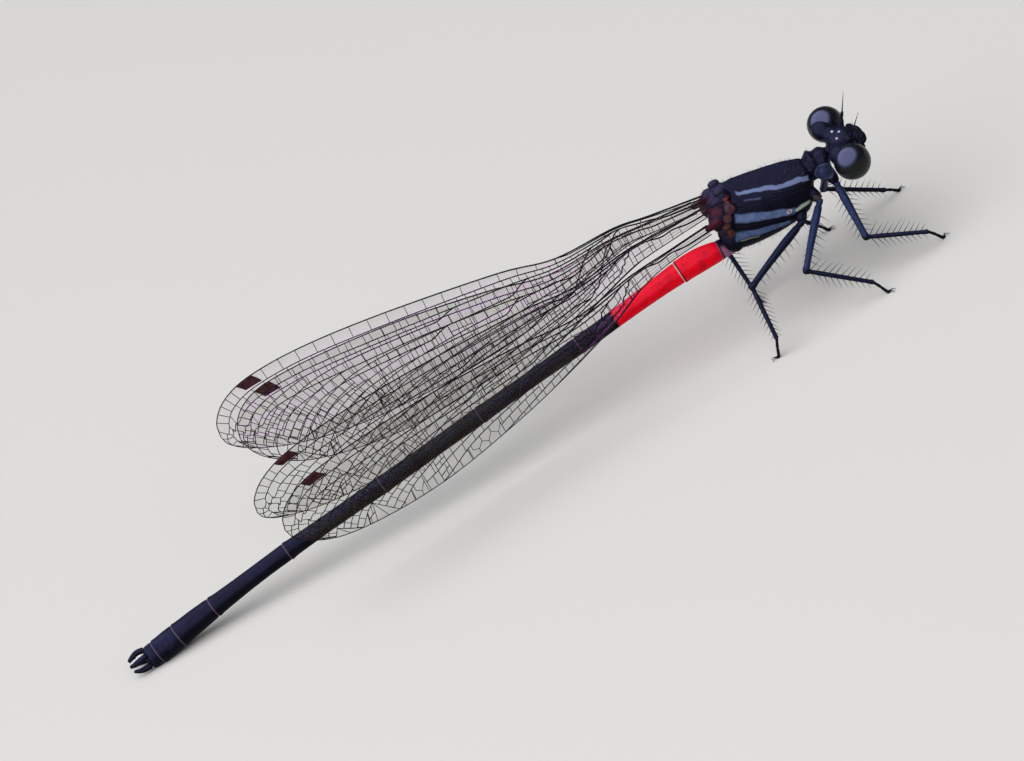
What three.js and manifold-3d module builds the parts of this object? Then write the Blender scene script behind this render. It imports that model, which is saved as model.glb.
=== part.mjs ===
// A damselfly at rest, life size, in millimetres.
// X runs forward to the head, Y to the insect's left and Z up. While it is drawn, x is 0 where the
// tail joins the thorax and z is 0 on the floor. The whole group is then moved so that the origin
// is the middle of its footprint.
import * as THREE from 'three';
import { mergeVertices } from 'three/addons/utils/BufferGeometryUtils.js';
import Module from 'manifold-3d';

const wasm = await Module();
wasm.setup();

// Gap that two neighbouring pieces keep between their faces
const GAP = 0.3;

// Tail: the ten segments end at these x, z, radius; the first row is the front of segment 1
const TAIL_JOINTS = [
  [0.30, 3.95, 0.42],
  [-0.31, 3.99, 0.46],
  [-2.42, 4.04, 0.53],
  [-8.10, 3.38, 0.42],
  [-13.69, 2.80, 0.42],
  [-19.18, 2.22, 0.42],
  [-24.51, 1.70, 0.43],
  [-28.79, 1.10, 0.50],
  [-30.84, 0.75, 0.58],
  [-32.07, 0.53, 0.58],
  [-32.74, 0.46, 0.50],
];
const TAIL_WAIST = [1, 1.13, 0.9, 0.9, 0.95, 0.93, 0.92, 1.02, 1.04, 1.04];
const TAIL_SIDES = 12;
// Claspers: height, distance out from the middle, and their sweep back, outward and up
const CERCUS = {
  height: 0.82,
  out: 0.31,
  radius: 0.19,
  sweep: [[0, 0, 0], [0.42, 0.06, -0.04], [0.86, -0.04, -0.14]],
};
const PARAPROCT = {
  height: 0.2,
  out: 0.31,
  radius: 0.19,
  sweep: [[0, 0, 0], [0.42, 0.04, 0], [0.86, -0.02, 0.06]],
};
const CLASPER_TAPER = [1, 0.9, 0.35];

// Thorax: sections at x, with the ridge height, the belly height and the half width
const THORAX_SECTIONS = [
  [0.62, 6.3, 3.6, 0.86],
  [1.15, 6.96, 3.48, 1.08],
  [2.0, 6.84, 3.42, 1.2],
  [3.0, 6.62, 3.42, 1.22],
  [4.0, 6.36, 3.55, 1.14],
  [4.55, 6.15, 3.95, 0.98],
  [4.92, 5.98, 4.6, 0.7],
];
// One side of a thorax section, from its ridge to its belly, as shares of half width and half height
const THORAX_SIDE = [
  [0, 1], [0.3, 0.9], [0.74, 0.6], [0.98, 0.18], [0.98, -0.3], [0.72, -0.76], [0.34, -0.96], [0, -1],
];
const THORAX_SIDE_STEPS = 9;

// Lumps that the wings hinge on, behind the thorax's upper edge: centre and radii
const HINGE_LUMPS = [
  { at: [0.95, 0.42, 6.35], radii: [0.5, 0.38, 0.55] },
  { at: [0.42, 0.78, 5.8], radii: [0.62, 0.52, 0.66] },
  { at: [0.55, 0.0, 5.6], radii: [0.62, 0.72, 0.95] },
];

// Prothorax: sections at x, with centre height, radius across and radius up
const PROTHORAX_SECTIONS = [
  [5.22, 5.4, 0.42, 0.48],
  [5.36, 5.42, 0.62, 0.72],
  [5.58, 5.36, 0.66, 0.68],
  [5.72, 5.36, 0.6, 0.64],
  [5.9, 5.4, 0.66, 0.6],
  [6.04, 5.5, 0.42, 0.42],
];

// Head: centre, turn about each axis in degrees, and the pieces of the capsule in the head's frame
const HEAD_CENTRE = [6.87, 0, 5.7];
const HEAD_TURN = { roll: 16, pitch: -12, yaw: -1.5 };
const HEAD_LOBES = [
  { at: [0.0, 0.0, 0.0], radii: [0.52, 1.5, 0.62] },
  { at: [0.42, 0.0, -0.28], radii: [0.55, 0.78, 0.6] },
  { at: [0.72, 0.0, -0.62], radii: [0.4, 0.56, 0.42] },
  { at: [0.3, 0.0, -0.86], radii: [0.42, 0.5, 0.36] },
];
const EYE_RADII = [0.86, 0.8, 0.9];
const EYE_OFFSET = [0.0, 1.47, 0.02];
const OCELLI = [[0.34, 0, 0.5], [0.1, 0.26, 0.56], [0.1, -0.26, 0.56]];
const OCELLUS_RADIUS = 0.15;

// Feeler: root in the head's frame, direction there, length of its stout base and of its whip
const FEELER_ROOT = [0.76, 0.44, 0.44];
const FEELER_DIRECTION = [0.62, 0.2, 0.7];
const FEELER_BASE = 0.5;
const FEELER_WHIP = 1.5;
const FEELER_RADIUS = 0.25;

// Legs: hip inside the body, end of the coxa, knee, ankle and toe, for the left side of each pair
const LEGS = {
  front_left: {
    host: 'prothorax', hip: [5.75, 0.3, 5.2], coxa: [5.85, 0.66, 4.36],
    knee: [5.38, 2.4, 2.64], ankle: [7.94, 3.0, 0.57], toe: [8.6, 3.23, 0],
  },
  front_right: {
    host: 'prothorax', hip: [5.75, -0.3, 5.2], coxa: [5.85, -0.66, 4.36],
    knee: [5.74, -2.6, 2.18], ankle: [8.34, -2.9, 0.95], toe: [8.95, -2.5, 0],
  },
  middle_left: {
    host: 'thorax', hip: [4.5, 0.55, 4.9], coxa: [4.8, 1.02, 4.2],
    knee: [2.61, 3.2, 2.82], ankle: [4.31, 3.4, 0.62], toe: [4.85, 3.29, 0],
  },
  middle_right: {
    host: 'thorax', hip: [4.5, -0.55, 4.9], coxa: [4.8, -1.02, 4.2],
    knee: [2.53, -3.6, 2.81], ankle: [4.95, -4.1, 0.8], toe: [5.42, -4.32, 0],
  },
  hind_left: {
    host: 'thorax', hip: [3.9, 0.5, 4.3], coxa: [3.6, 1.08, 3.7],
    knee: [0.07, 2.8, 2.63], ankle: [0.22, 1.25, 0.6], toe: [0.26, 0.62, 0],
  },
  hind_right: {
    host: 'thorax', hip: [3.9, -0.5, 4.3], coxa: [3.6, -1.08, 3.7],
    knee: [0.03, -3.2, 3.28], ankle: [-0.17, -4.35, 0.95], toe: [-0.6, -4.36, 0],
  },
};
const COXA_RADIUS = 0.33;
const FEMUR_RADIUS = 0.28;
const TIBIA_RADIUS = 0.25;
const TARSUS_RADIUS = 0.25;
const FOOT_HEIGHT = 0.13;
const FOOT_LENGTH = 0.5;
const FOOT_SHARE = 0.8;
const LEG_SIDES = 8;

// Wings: hinge point of the left wing, how far it spreads per mm behind the hinge, and the upper
// and lower outline from the hinge to the wing's tip, as distance behind the hinge and height above it
const WING_LEAN = THREE.MathUtils.degToRad(12);
const WINGS = {
  forewing: {
    hinge: [0.32, 0.47, 6.5],
    spread: 0.137,
    upper: [
      [0, 0.12], [2.7, 0.4], [4.4, 0.62], [7.4, 0.56], [10.1, 1.15], [15.6, 1.87], [19.6, 2.15],
      [22.4, 2.0], [23.9, 1.5], [24.7, 0.75], [24.9, 0],
    ],
    lower: [
      [0, -0.46], [2.4, -0.4], [4.2, -0.42], [6.6, -1.0], [9.9, -1.9], [13, -2.3], [16.4, -2.45],
      [19.6, -2.3], [22.1, -1.82], [23.9, -1.1], [24.7, -0.5], [24.9, 0],
    ],
  },
  hindwing: {
    hinge: [-0.34, 1.27, 6.05],
    spread: 0.15,
    upper: [
      [0, 0.12], [2.2, 0.17], [4.2, 0.22], [7.3, 0], [10.2, 0.58], [14.3, 1.15], [18.4, 1.38],
      [21.2, 1.28], [22.55, 0.85], [23.3, 0.15], [23.55, -0.6],
    ],
    lower: [
      [0, -0.46], [2.2, -0.44], [3.9, -0.75], [6.2, -1.75], [9.4, -2.65], [12.2, -3.2], [15.6, -3.6],
      [18.5, -3.5], [21.2, -2.95], [22.7, -2.1], [23.35, -1.35], [23.55, -0.6],
    ],
  },
};
const WING_THICKNESS = 0.5;
const RIM_THICKNESS = 0.36;
const ROOT_ROOM_LENGTH = 3;
const WING_STATIONS = 16;
// Main veins: share of the wing's depth near the root, where each ends on the lower outline as a
// share of the wing's length, and how late it bends down to it
const VEINS = [
  { depth: 0.1, end: 0.992, bend: 40 },
  { depth: 0.22, end: 0.965, bend: 16 },
  { depth: 0.36, end: 0.9, bend: 9 },
  { depth: 0.5, end: 0.8, bend: 6 },
  { depth: 0.65, end: 0.66, bend: 4.5 },
  { depth: 0.8, end: 0.52, bend: 3.5 },
];
const HIND_EDGE_END = 0.4;
const VEIN_RISE = 0.06;
const VEIN_HALF_WIDTH = 0.17;
const VEIN_FADE = { from: 1.5, over: 4 };
const COSTA_WIDTH = 0.2;
// A fold takes at most this share of the room to the next vein
const FOLD_SHARE = 0.3;
// Pterostigma: the dark raised cell near the tip, between the front edge and the first vein
const STIGMA = { from: 0.895, to: 0.935, deep: 0.5, slant: 0.25, rise: 0.1 };

// Bristles in rows along the legs
const SPINE = { length: 1.05, shorter: 0.35, radius: 0.2, sink: 0.12, sides: 5, tilt: 0.55 };
const SPINE_DROP = 0.35;
const TIBIA_SPINES = { count: 5, from: 0.2, to: 0.86 };
const FEMUR_SPINES = { count: 4, from: 0.3, to: 0.74 };

// Colours of the finishes
const FINISH = {
  cuticle: { color: 0x1b1d26, roughness: 0.5 },
  red: { color: 0xd3203a, roughness: 0.45 },
  eye: { color: 0x14101c, roughness: 0.12 },
  wing: { color: 0x8c938c, roughness: 0.3 },
  thorax: { color: 0x20222c, roughness: 0.42 },
};

const vec = (point) => new THREE.Vector3(...point);

// One closed solid from its faceted geometry, with equal corners merged
function solid(geometry) {
  const plain = geometry.index ? geometry.toNonIndexed() : geometry.clone();
  plain.deleteAttribute('normal');
  plain.deleteAttribute('uv');
  const merged = mergeVertices(plain, 1e-5);
  return new wasm.Manifold(new wasm.Mesh({
    numProp: 3,
    vertProperties: new Float32Array(merged.attributes.position.array),
    triVerts: new Uint32Array(merged.index.array),
  }));
}

// The largest closed body of a solid, as geometry
function largest(body) {
  const pieces = body.decompose();
  const main = pieces.reduce((best, piece) => (piece.volume() > best.volume() ? piece : best));
  const mesh = main.getMesh();
  const geometry = new THREE.BufferGeometry();
  geometry.setAttribute('position', new THREE.BufferAttribute(new Float32Array(mesh.vertProperties), 3));
  geometry.setIndex(new THREE.BufferAttribute(new Uint32Array(mesh.triVerts), 1));
  return geometry;
}

// Several pieces grown together, then cut
function joined(pieces, cuts = []) {
  let body = solid(pieces[0]);
  for (const piece of pieces.slice(1)) {
    body = body.add(solid(piece));
  }
  for (const cut of cuts) {
    body = body.subtract(solid(cut));
  }
  return largest(body);
}

// Signed volume of a closed geometry, positive when its faces point out
function signedVolume(positions, index) {
  let sum = 0;
  const corner = [0, 1, 2].map(() => new THREE.Vector3());
  for (let face = 0; face < index.length; face += 3) {
    corner.forEach((point, k) => point.fromArray(positions, 3 * index[face + k]));
    sum += corner[0].dot(corner[1].clone().cross(corner[2])) / 6;
  }
  return sum;
}

// Geometry from points and faces, turned so that its faces point out
function shell(points, faces) {
  const positions = points.flatMap((point) => [point.x, point.y, point.z]);
  const index = faces.flat();
  if (signedVolume(positions, index) < 0) {
    for (let face = 0; face < index.length; face += 3) {
      [index[face + 1], index[face + 2]] = [index[face + 2], index[face + 1]];
    }
  }
  const geometry = new THREE.BufferGeometry();
  geometry.setAttribute('position', new THREE.Float32BufferAttribute(positions, 3));
  geometry.setIndex(index);
  return geometry;
}

// A closed skin over rings of equal count, with a flat end at each side
function loft(rings) {
  const count = rings[0].length;
  const points = rings.flat();
  const faces = [];
  for (let row = 0; row + 1 < rings.length; row += 1) {
    for (let k = 0; k < count; k += 1) {
      const next = (k + 1) % count;
      const [a, b] = [row * count + k, row * count + next];
      const [c, d] = [a + count, b + count];
      faces.push([a, b, d], [a, d, c]);
    }
  }
  for (const row of [0, rings.length - 1]) {
    const middle = rings[row].reduce((sum, point) => sum.add(point), new THREE.Vector3()).divideScalar(count);
    points.push(middle);
    for (let k = 0; k < count; k += 1) {
      const edge = [row * count + k, row * count + ((k + 1) % count)];
      faces.push(row === 0 ? [edge[1], edge[0], points.length - 1] : [edge[0], edge[1], points.length - 1]);
    }
  }
  return shell(points, faces);
}

// A ring of points round a centre, across a direction; nothing of it goes below the floor
function ring(centre, direction, radius, sides, flatten = 1) {
  const upright = Math.abs(direction.z) > 0.98 ? new THREE.Vector3(1, 0, 0) : new THREE.Vector3(0, 0, 1);
  const across = upright.clone().cross(direction).normalize();
  const up = direction.clone().cross(across).normalize();
  const points = [];
  for (let k = 0; k < sides; k += 1) {
    const angle = (2 * Math.PI * (k + 0.5)) / sides;
    const point = centre.clone()
      .addScaledVector(across, radius * Math.cos(angle))
      .addScaledVector(up, radius * flatten * Math.sin(angle));
    point.z = Math.max(point.z, 0);
    points.push(point);
  }
  return points;
}

// Slides the points of an end ring along the limb until they lie on the plane across a bend
function mitred(points, centre, direction, normal) {
  return points.map((point) => {
    const slide = -point.clone().sub(centre).dot(normal) / direction.dot(normal);
    return point.clone().addScaledVector(direction, slide);
  });
}

// A round limb through points, with a radius at each; its ends may be cut on the plane of a bend
function limb(points, radii, sides = LEG_SIDES, ends = {}) {
  const last = points.length - 1;
  const rings = points.map((point, k) => {
    const before = points[Math.max(k - 1, 0)];
    const after = points[Math.min(k + 1, last)];
    const direction = after.clone().sub(before).normalize();
    const round = ring(point, direction, radii[k], sides);
    const normal = { 0: ends.start, [last]: ends.end }[k];
    return normal ? mitred(round, point, direction, normal) : round;
  });
  return loft(rings);
}

// Where two limbs meet at a bend: each one's end, half a gap from the plane between them
function bend(before, at, after) {
  const incoming = at.clone().sub(before).normalize();
  const outgoing = after.clone().sub(at).normalize();
  const normal = incoming.clone().add(outgoing).normalize();
  return {
    normal,
    end: at.clone().addScaledVector(incoming, -GAP / 2 / incoming.dot(normal)),
    start: at.clone().addScaledVector(outgoing, GAP / 2 / outgoing.dot(normal)),
  };
}

// A point part of the way between two others, and one a set distance from the first
const between = (from, to, share) => from.clone().lerp(to, share);
const towards = (from, to, distance) => between(from, to, distance / from.distanceTo(to));

function lump(centre, radii, around = 14, over = 10) {
  const geometry = new THREE.SphereGeometry(1, around, over);
  geometry.scale(...radii);
  geometry.translate(...centre);
  return geometry;
}

const damselfly = new THREE.Group();
function addNode(name, geometry, finish) {
  const mesh = new THREE.Mesh(geometry, new THREE.MeshStandardMaterial({ metalness: 0, ...FINISH[finish] }));
  mesh.name = name;
  damselfly.add(mesh);
}

// Tail: each segment runs between two joints of one smooth line, and is a little waisted
const tailPoints = TAIL_JOINTS.map(([x, z]) => new THREE.Vector3(x, 0, z));
const tailLine = new THREE.CatmullRomCurve3(tailPoints, false, 'centripetal');
function tailSegment(number) {
  const [startRadius, endRadius] = [TAIL_JOINTS[number - 1][2], TAIL_JOINTS[number][2]];
  const spans = TAIL_JOINTS.length - 1;
  const steps = TAIL_JOINTS[number - 1][0] - TAIL_JOINTS[number][0] > 1.5 ? 5 : 3;
  const length = tailLine.getPoint((number - 1) / spans).distanceTo(tailLine.getPoint(number / spans));
  const inset = GAP / 2 / length;
  const rings = [];
  for (let k = 0; k <= steps; k += 1) {
    const share = inset + (1 - 2 * inset) * (k / steps);
    const at = (number - 1 + share) / spans;
    const bulge = THREE.MathUtils.lerp(1, TAIL_WAIST[number - 1], Math.sin(Math.PI * share));
    const radius = THREE.MathUtils.lerp(startRadius, endRadius, share) * bulge;
    rings.push(ring(tailLine.getPoint(at), tailLine.getTangent(at), radius, TAIL_SIDES));
  }
  return loft(rings);
}

// Claspers at the tail's end: an upper pair that hooks inward and a lower pair that rises
function clasper(side, { height, out, sweep, radius }) {
  const [lastX] = TAIL_JOINTS[TAIL_JOINTS.length - 1];
  const root = new THREE.Vector3(lastX - GAP / 2, side * out, height);
  const points = sweep.map(([back, outward, up]) => (
    root.clone().add(new THREE.Vector3(-back, side * outward, up))
  ));
  return limb(points, CLASPER_TAPER.map((share) => share * radius), 6);
}

function thoraxSection([x, top, bottom, width]) {
  const half = new THREE.SplineCurve(THORAX_SIDE.map(([across, up]) => new THREE.Vector2(across, up)));
  const side = half.getPoints(THORAX_SIDE_STEPS);
  const other = side.slice(1, -1).reverse().map((point) => new THREE.Vector2(-point.x, point.y));
  const middle = (top + bottom) / 2;
  const halfHeight = (top - bottom) / 2;
  return [...side, ...other].map((point) => (
    new THREE.Vector3(x, width * point.x, middle + halfHeight * point.y)
  ));
}

// The bends of one leg: at the coxa's end, the knee and the ankle, and the heel on the floor
function legBends(leg) {
  const [hip, coxaEnd, knee, ankle, toe] = [leg.hip, leg.coxa, leg.knee, leg.ankle, leg.toe].map(vec);
  toe.z = FOOT_HEIGHT;
  const under = new THREE.Vector3(ankle.x, ankle.y, FOOT_HEIGHT);
  const heel = towards(toe, under, Math.min(FOOT_LENGTH, toe.distanceTo(under) * FOOT_SHARE));
  return {
    hip,
    coxa: bend(hip, coxaEnd, knee),
    knee: bend(coxaEnd, knee, ankle),
    ankle: bend(knee, ankle, heel),
    heel,
    toe,
  };
}

function coxa(leg) {
  const { hip, coxa: tip } = legBends(leg);
  const radii = [COXA_RADIUS, COXA_RADIUS, COXA_RADIUS * 0.85];
  return limb([hip, between(hip, tip.end, 0.6), tip.end], radii, LEG_SIDES, { end: tip.normal });
}

function coxae(host) {
  return Object.values(LEGS).filter((leg) => leg.host === host).map(coxa);
}

function mirrored([x, y, z]) {
  return [x, -y, z];
}

// Room for a wing root: the thorax ends in a flat face in front of it
function rootRoom({ hinge, upper, lower }, side) {
  const depth = upper[0][1] - lower[0][1] + 2 * GAP;
  const geometry = new THREE.BoxGeometry(ROOT_ROOM_LENGTH, WING_THICKNESS + 2 * GAP, depth);
  const [x, y, z] = hinge;
  geometry.translate(x + GAP - ROOT_ROOM_LENGTH / 2, side * y, z + (upper[0][1] + lower[0][1]) / 2);
  return geometry;
}

function thorax() {
  const lumps = HINGE_LUMPS.flatMap(({ at, radii }) => {
    const sides = at[1] === 0 ? [at] : [at, mirrored(at)];
    return sides.map((centre) => lump(centre, radii));
  });
  const rooms = Object.values(WINGS).flatMap((wing) => [rootRoom(wing, 1), rootRoom(wing, -1)]);
  return joined([loft(THORAX_SECTIONS.map(thoraxSection)), ...lumps, ...coxae('thorax')], rooms);
}

function prothorax() {
  const rings = PROTHORAX_SECTIONS.map(([x, z, across, up]) => {
    return ring(new THREE.Vector3(x, 0, z), new THREE.Vector3(1, 0, 0), across, 14, up / across);
  });
  return joined([loft(rings), ...coxae('prothorax')]);
}

// The head's own frame, set on the neck
const headPlace = new THREE.Matrix4().makeRotationFromEuler(new THREE.Euler(
  THREE.MathUtils.degToRad(HEAD_TURN.roll),
  THREE.MathUtils.degToRad(HEAD_TURN.pitch),
  THREE.MathUtils.degToRad(HEAD_TURN.yaw),
  'ZYX',
)).setPosition(vec(HEAD_CENTRE));

function eye(side, grow = 0) {
  const [x, y, z] = EYE_OFFSET;
  return lump([x, side * y, z], EYE_RADII.map((radius) => radius + grow), 20, 14).applyMatrix4(headPlace);
}

function head() {
  const lobes = HEAD_LOBES.map(({ at, radii }) => lump(at, radii, 14, 10));
  const ocelli = OCELLI.map((at) => lump(at, [OCELLUS_RADIUS, OCELLUS_RADIUS, OCELLUS_RADIUS], 8, 6));
  const capsule = [...lobes, ...ocelli].map((piece) => piece.applyMatrix4(headPlace));
  return joined(capsule, [eye(1, GAP), eye(-1, GAP)]);
}

function feeler(side) {
  const [x, y, z] = FEELER_ROOT;
  const [dx, dy, dz] = FEELER_DIRECTION;
  const direction = new THREE.Vector3(dx, side * dy, dz).normalize();
  const root = new THREE.Vector3(x, side * y, z);
  const base = root.clone().addScaledVector(direction, FEELER_BASE);
  const bend = base.clone().addScaledVector(direction, FEELER_WHIP / 2);
  const tip = base.clone().addScaledVector(direction, FEELER_WHIP);
  const points = [root, base, bend, tip].map((point) => point.applyMatrix4(headPlace));
  return limb(points, [FEELER_RADIUS, FEELER_RADIUS, 0.14, 0.05], 6);
}

// Rows of bristles along a limb from one point to another; each row leans out on its own side
function spineRows(from, to, { count, from: first, to: last }, sides) {
  const along = to.clone().sub(from).normalize();
  const across = along.clone().cross(new THREE.Vector3(0, 0, 1)).normalize();
  const below = along.clone().cross(across).normalize();
  below.multiplyScalar(-Math.sign(below.z));
  const spines = [];
  for (const side of sides) {
    const out = across.clone().multiplyScalar(side).addScaledVector(below, SPINE_DROP).normalize();
    const direction = out.addScaledVector(along, SPINE.tilt).normalize();
    for (let k = 0; k < count; k += 1) {
      const share = THREE.MathUtils.lerp(first, last, k / (count - 1));
      const length = SPINE.length * (1 - SPINE.shorter * (k / (count - 1)));
      const cone = new THREE.ConeGeometry(SPINE.radius, length + TIBIA_RADIUS, SPINE.sides);
      cone.translate(0, (length + TIBIA_RADIUS) / 2 - SPINE.sink, 0);
      cone.applyQuaternion(new THREE.Quaternion().setFromUnitVectors(new THREE.Vector3(0, 1, 0), direction));
      const root = between(from, to, share);
      spines.push(cone.translate(root.x, root.y, root.z));
    }
  }
  return spines;
}

// Femur: from just past the coxa to the knee
function femur(leg) {
  const { coxa: base, knee } = legBends(leg);
  const points = [0, 0.15, 0.55, 1].map((share) => between(base.start, knee.end, share));
  const radii = [0.85, 1.05, 1, 0.92].map((share) => share * FEMUR_RADIUS);
  const shaft = limb(points, radii, LEG_SIDES, { start: base.normal, end: knee.normal });
  const outward = Math.sign(leg.coxa[1]);
  return joined([shaft, ...spineRows(base.start, knee.end, FEMUR_SPINES, [outward])]);
}

function tibia(leg) {
  const { knee, ankle } = legBends(leg);
  const points = [0, 0.5, 1].map((share) => between(knee.start, ankle.end, share));
  const ends = { start: knee.normal, end: ankle.normal };
  const shaft = limb(points, points.map(() => TIBIA_RADIUS), LEG_SIDES, ends);
  return joined([shaft, ...spineRows(knee.start, ankle.end, TIBIA_SPINES, [-1, 1])]);
}

// Foot: comes down from the ankle and lies along the floor on a small flat
function tarsus(leg) {
  const { ankle, heel, toe } = legBends(leg);
  const points = [ankle.start, between(ankle.start, heel, 0.75), between(heel, toe, 0.2), toe];
  const radii = [1, 1, 0.95, 0.6].map((share) => share * TARSUS_RADIUS);
  return limb(points, radii, LEG_SIDES, { start: ankle.normal });
}

// Wing outline: its point at a share of its length, and its height at a distance behind the hinge
function outline(points) {
  const curve = new THREE.SplineCurve(points.map(([back, up]) => new THREE.Vector2(back, up)));
  const samples = curve.getPoints(200);
  const heightAt = (back) => {
    const next = Math.max(samples.findIndex((point) => point.x >= back), 1);
    const [from, to] = [samples[next - 1], samples[next]];
    return THREE.MathUtils.lerp(from.y, to.y, (back - from.x) / (to.x - from.x));
  };
  return { pointAt: (share) => curve.getPointAt(share), heightAt };
}

// The lines of a wing, from its front edge over its main veins to its hind edge: each has one point
// for every station, so that stations slant across the wing as its cross-veins do
function wingLines(wing) {
  const [upper, lower] = [outline(wing.upper), outline(wing.lower)];
  const length = wing.upper[wing.upper.length - 1][0];
  const shares = Array.from({ length: WING_STATIONS }, (_, row) => row / (WING_STATIONS - 1));
  const front = shares.map((share) => upper.pointAt(share));
  const veins = VEINS.map(({ depth, end, bend }) => shares.map((share) => {
    const back = share * end * length;
    const part = depth + (1 - depth) * share ** bend;
    return new THREE.Vector2(back, THREE.MathUtils.lerp(upper.heightAt(back), lower.heightAt(back), part));
  }));
  const hind = shares.map((share) => {
    const back = share * HIND_EDGE_END * length;
    return new THREE.Vector2(back, lower.heightAt(back));
  });
  return [front, ...veins, hind];
}

// Columns of a wing's surface: a vein is a narrow fold, with a line on each side of its crest
function wingColumns(wing) {
  const lines = wingLines(wing);
  const last = lines.length - 1;
  const shifted = (line, other, width) => line.map((point, row) => {
    const distance = point.distanceTo(other[row]);
    return point.clone().lerp(other[row], Math.min(width / distance, FOLD_SHARE));
  });
  const columns = [
    { line: lines[0], rise: VEIN_RISE },
    { line: shifted(lines[0], lines[1], COSTA_WIDTH), rise: 0 },
  ];
  for (let k = 1; k < last; k += 1) {
    columns.push({ line: shifted(lines[k], lines[k - 1], VEIN_HALF_WIDTH), rise: 0 });
    columns.push({ line: lines[k], rise: VEIN_RISE });
    columns.push({ line: shifted(lines[k], lines[k + 1], VEIN_HALF_WIDTH), rise: 0 });
  }
  columns.push({ line: lines[last], rise: 0 });
  return columns;
}

// Where a flat point of the wing stands, on its upper or lower face
function wingPlace(wing, side) {
  const lean = Math.tan(WING_LEAN);
  const normal = new THREE.Vector3(wing.spread, side, -lean).normalize();
  return (flat, height) => new THREE.Vector3(
    wing.hinge[0] - flat.x,
    side * (wing.hinge[1] + wing.spread * flat.x + lean * flat.y),
    wing.hinge[2] + flat.y,
  ).addScaledVector(normal, height);
}

// A closed slab over a grid of columns, with the same triangles on both faces
function slab(columns, halfHeight, place) {
  const count = columns.length;
  const rows = columns[0].line.length;
  const [upper, lower] = [[], []];
  for (let row = 0; row < rows; row += 1) {
    columns.forEach((column, k) => {
      const half = halfHeight(column, row, k);
      upper.push(place(column.line[row], half));
      lower.push(place(column.line[row], -half));
    });
  }
  const offset = upper.length;
  const faces = [];
  for (let row = 0; row + 1 < rows; row += 1) {
    for (let k = 0; k + 1 < count; k += 1) {
      const [a, b] = [row * count + k, row * count + k + 1];
      const [c, d] = [b + count, a + count];
      faces.push([a, b, c], [a, c, d]);
      faces.push([a + offset, c + offset, b + offset], [a + offset, d + offset, c + offset]);
    }
  }
  const border = [];
  for (let k = 0; k < count; k += 1) {
    border.push(k);
  }
  for (let row = 1; row < rows; row += 1) {
    border.push(row * count + count - 1);
  }
  for (let k = count - 2; k >= 0; k -= 1) {
    border.push((rows - 1) * count + k);
  }
  for (let row = rows - 2; row > 0; row -= 1) {
    border.push(row * count);
  }
  border.forEach((from, k) => {
    const to = border[(k + 1) % border.length];
    faces.push([from, from + offset, to + offset], [from, to + offset, to]);
  });
  return shell([...upper, ...lower], faces);
}

function pterostigma(wing, place) {
  const upper = outline(wing.upper);
  const corners = [STIGMA.from, STIGMA.to].map((share) => upper.pointAt(share));
  const inner = corners.map(({ x, y }) => new THREE.Vector2(x - STIGMA.slant, y - STIGMA.deep));
  const columns = [{ line: corners }, { line: inner }];
  return slab(columns, () => WING_THICKNESS / 2 + STIGMA.rise, place);
}

function wingGeometry(wing, side) {
  const place = wingPlace(wing, side);
  const rows = WING_STATIONS - 1;
  const halfHeight = ({ line, rise }, row, k) => {
    const fade = THREE.MathUtils.clamp((line[row].x - VEIN_FADE.from) / VEIN_FADE.over, 0, 1);
    const rim = row === rows ? RIM_THICKNESS / 2 : WING_THICKNESS / 2;
    return rim + rise * fade;
  };
  return joined([slab(wingColumns(wing), halfHeight, place), pterostigma(wing, place)]);
}

addNode('head', head(), 'cuticle');
addNode('prothorax', prothorax(), 'cuticle');
addNode('thorax', thorax(), 'thorax');
for (let number = 1; number < TAIL_JOINTS.length; number += 1) {
  const name = `abdomen_${String(number).padStart(2, '0')}`;
  addNode(name, tailSegment(number), number === 2 || number === 3 ? 'red' : 'cuticle');
}
for (const [word, side] of [['left', 1], ['right', -1]]) {
  addNode(`eye_${word}`, eye(side), 'eye');
  addNode(`antenna_${word}`, feeler(side), 'cuticle');
  addNode(`cercus_${word}`, clasper(side, CERCUS), 'cuticle');
  addNode(`paraproct_${word}`, clasper(side, PARAPROCT), 'cuticle');
  for (const [name, wing] of Object.entries(WINGS)) {
    addNode(`${name}_${word}`, wingGeometry(wing, side), 'wing');
  }
}
for (const [name, leg] of Object.entries(LEGS)) {
  addNode(`femur_${name}`, femur(leg), 'cuticle');
  addNode(`tibia_${name}`, tibia(leg), 'cuticle');
  addNode(`tarsus_${name}`, tarsus(leg), 'cuticle');
}

// Move the model so that the origin is the middle of its footprint, on the floor
const box = new THREE.Box3().setFromObject(damselfly);
const middle = box.getCenter(new THREE.Vector3());
damselfly.position.set(-middle.x, -middle.y, -box.min.z);

export default damselfly;
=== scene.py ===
"""A damselfly at rest, life size, finished for a museum case.

Sizes are in millimetres in the insect's own frame: x runs from the wing roots towards the head, y to the
insect's left, z up from the floor. to_frame() turns them to metres in the frame of the solids.
"""

import math

import bmesh
import bpy
import numpy as np
from mathutils import Matrix, Vector


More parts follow.
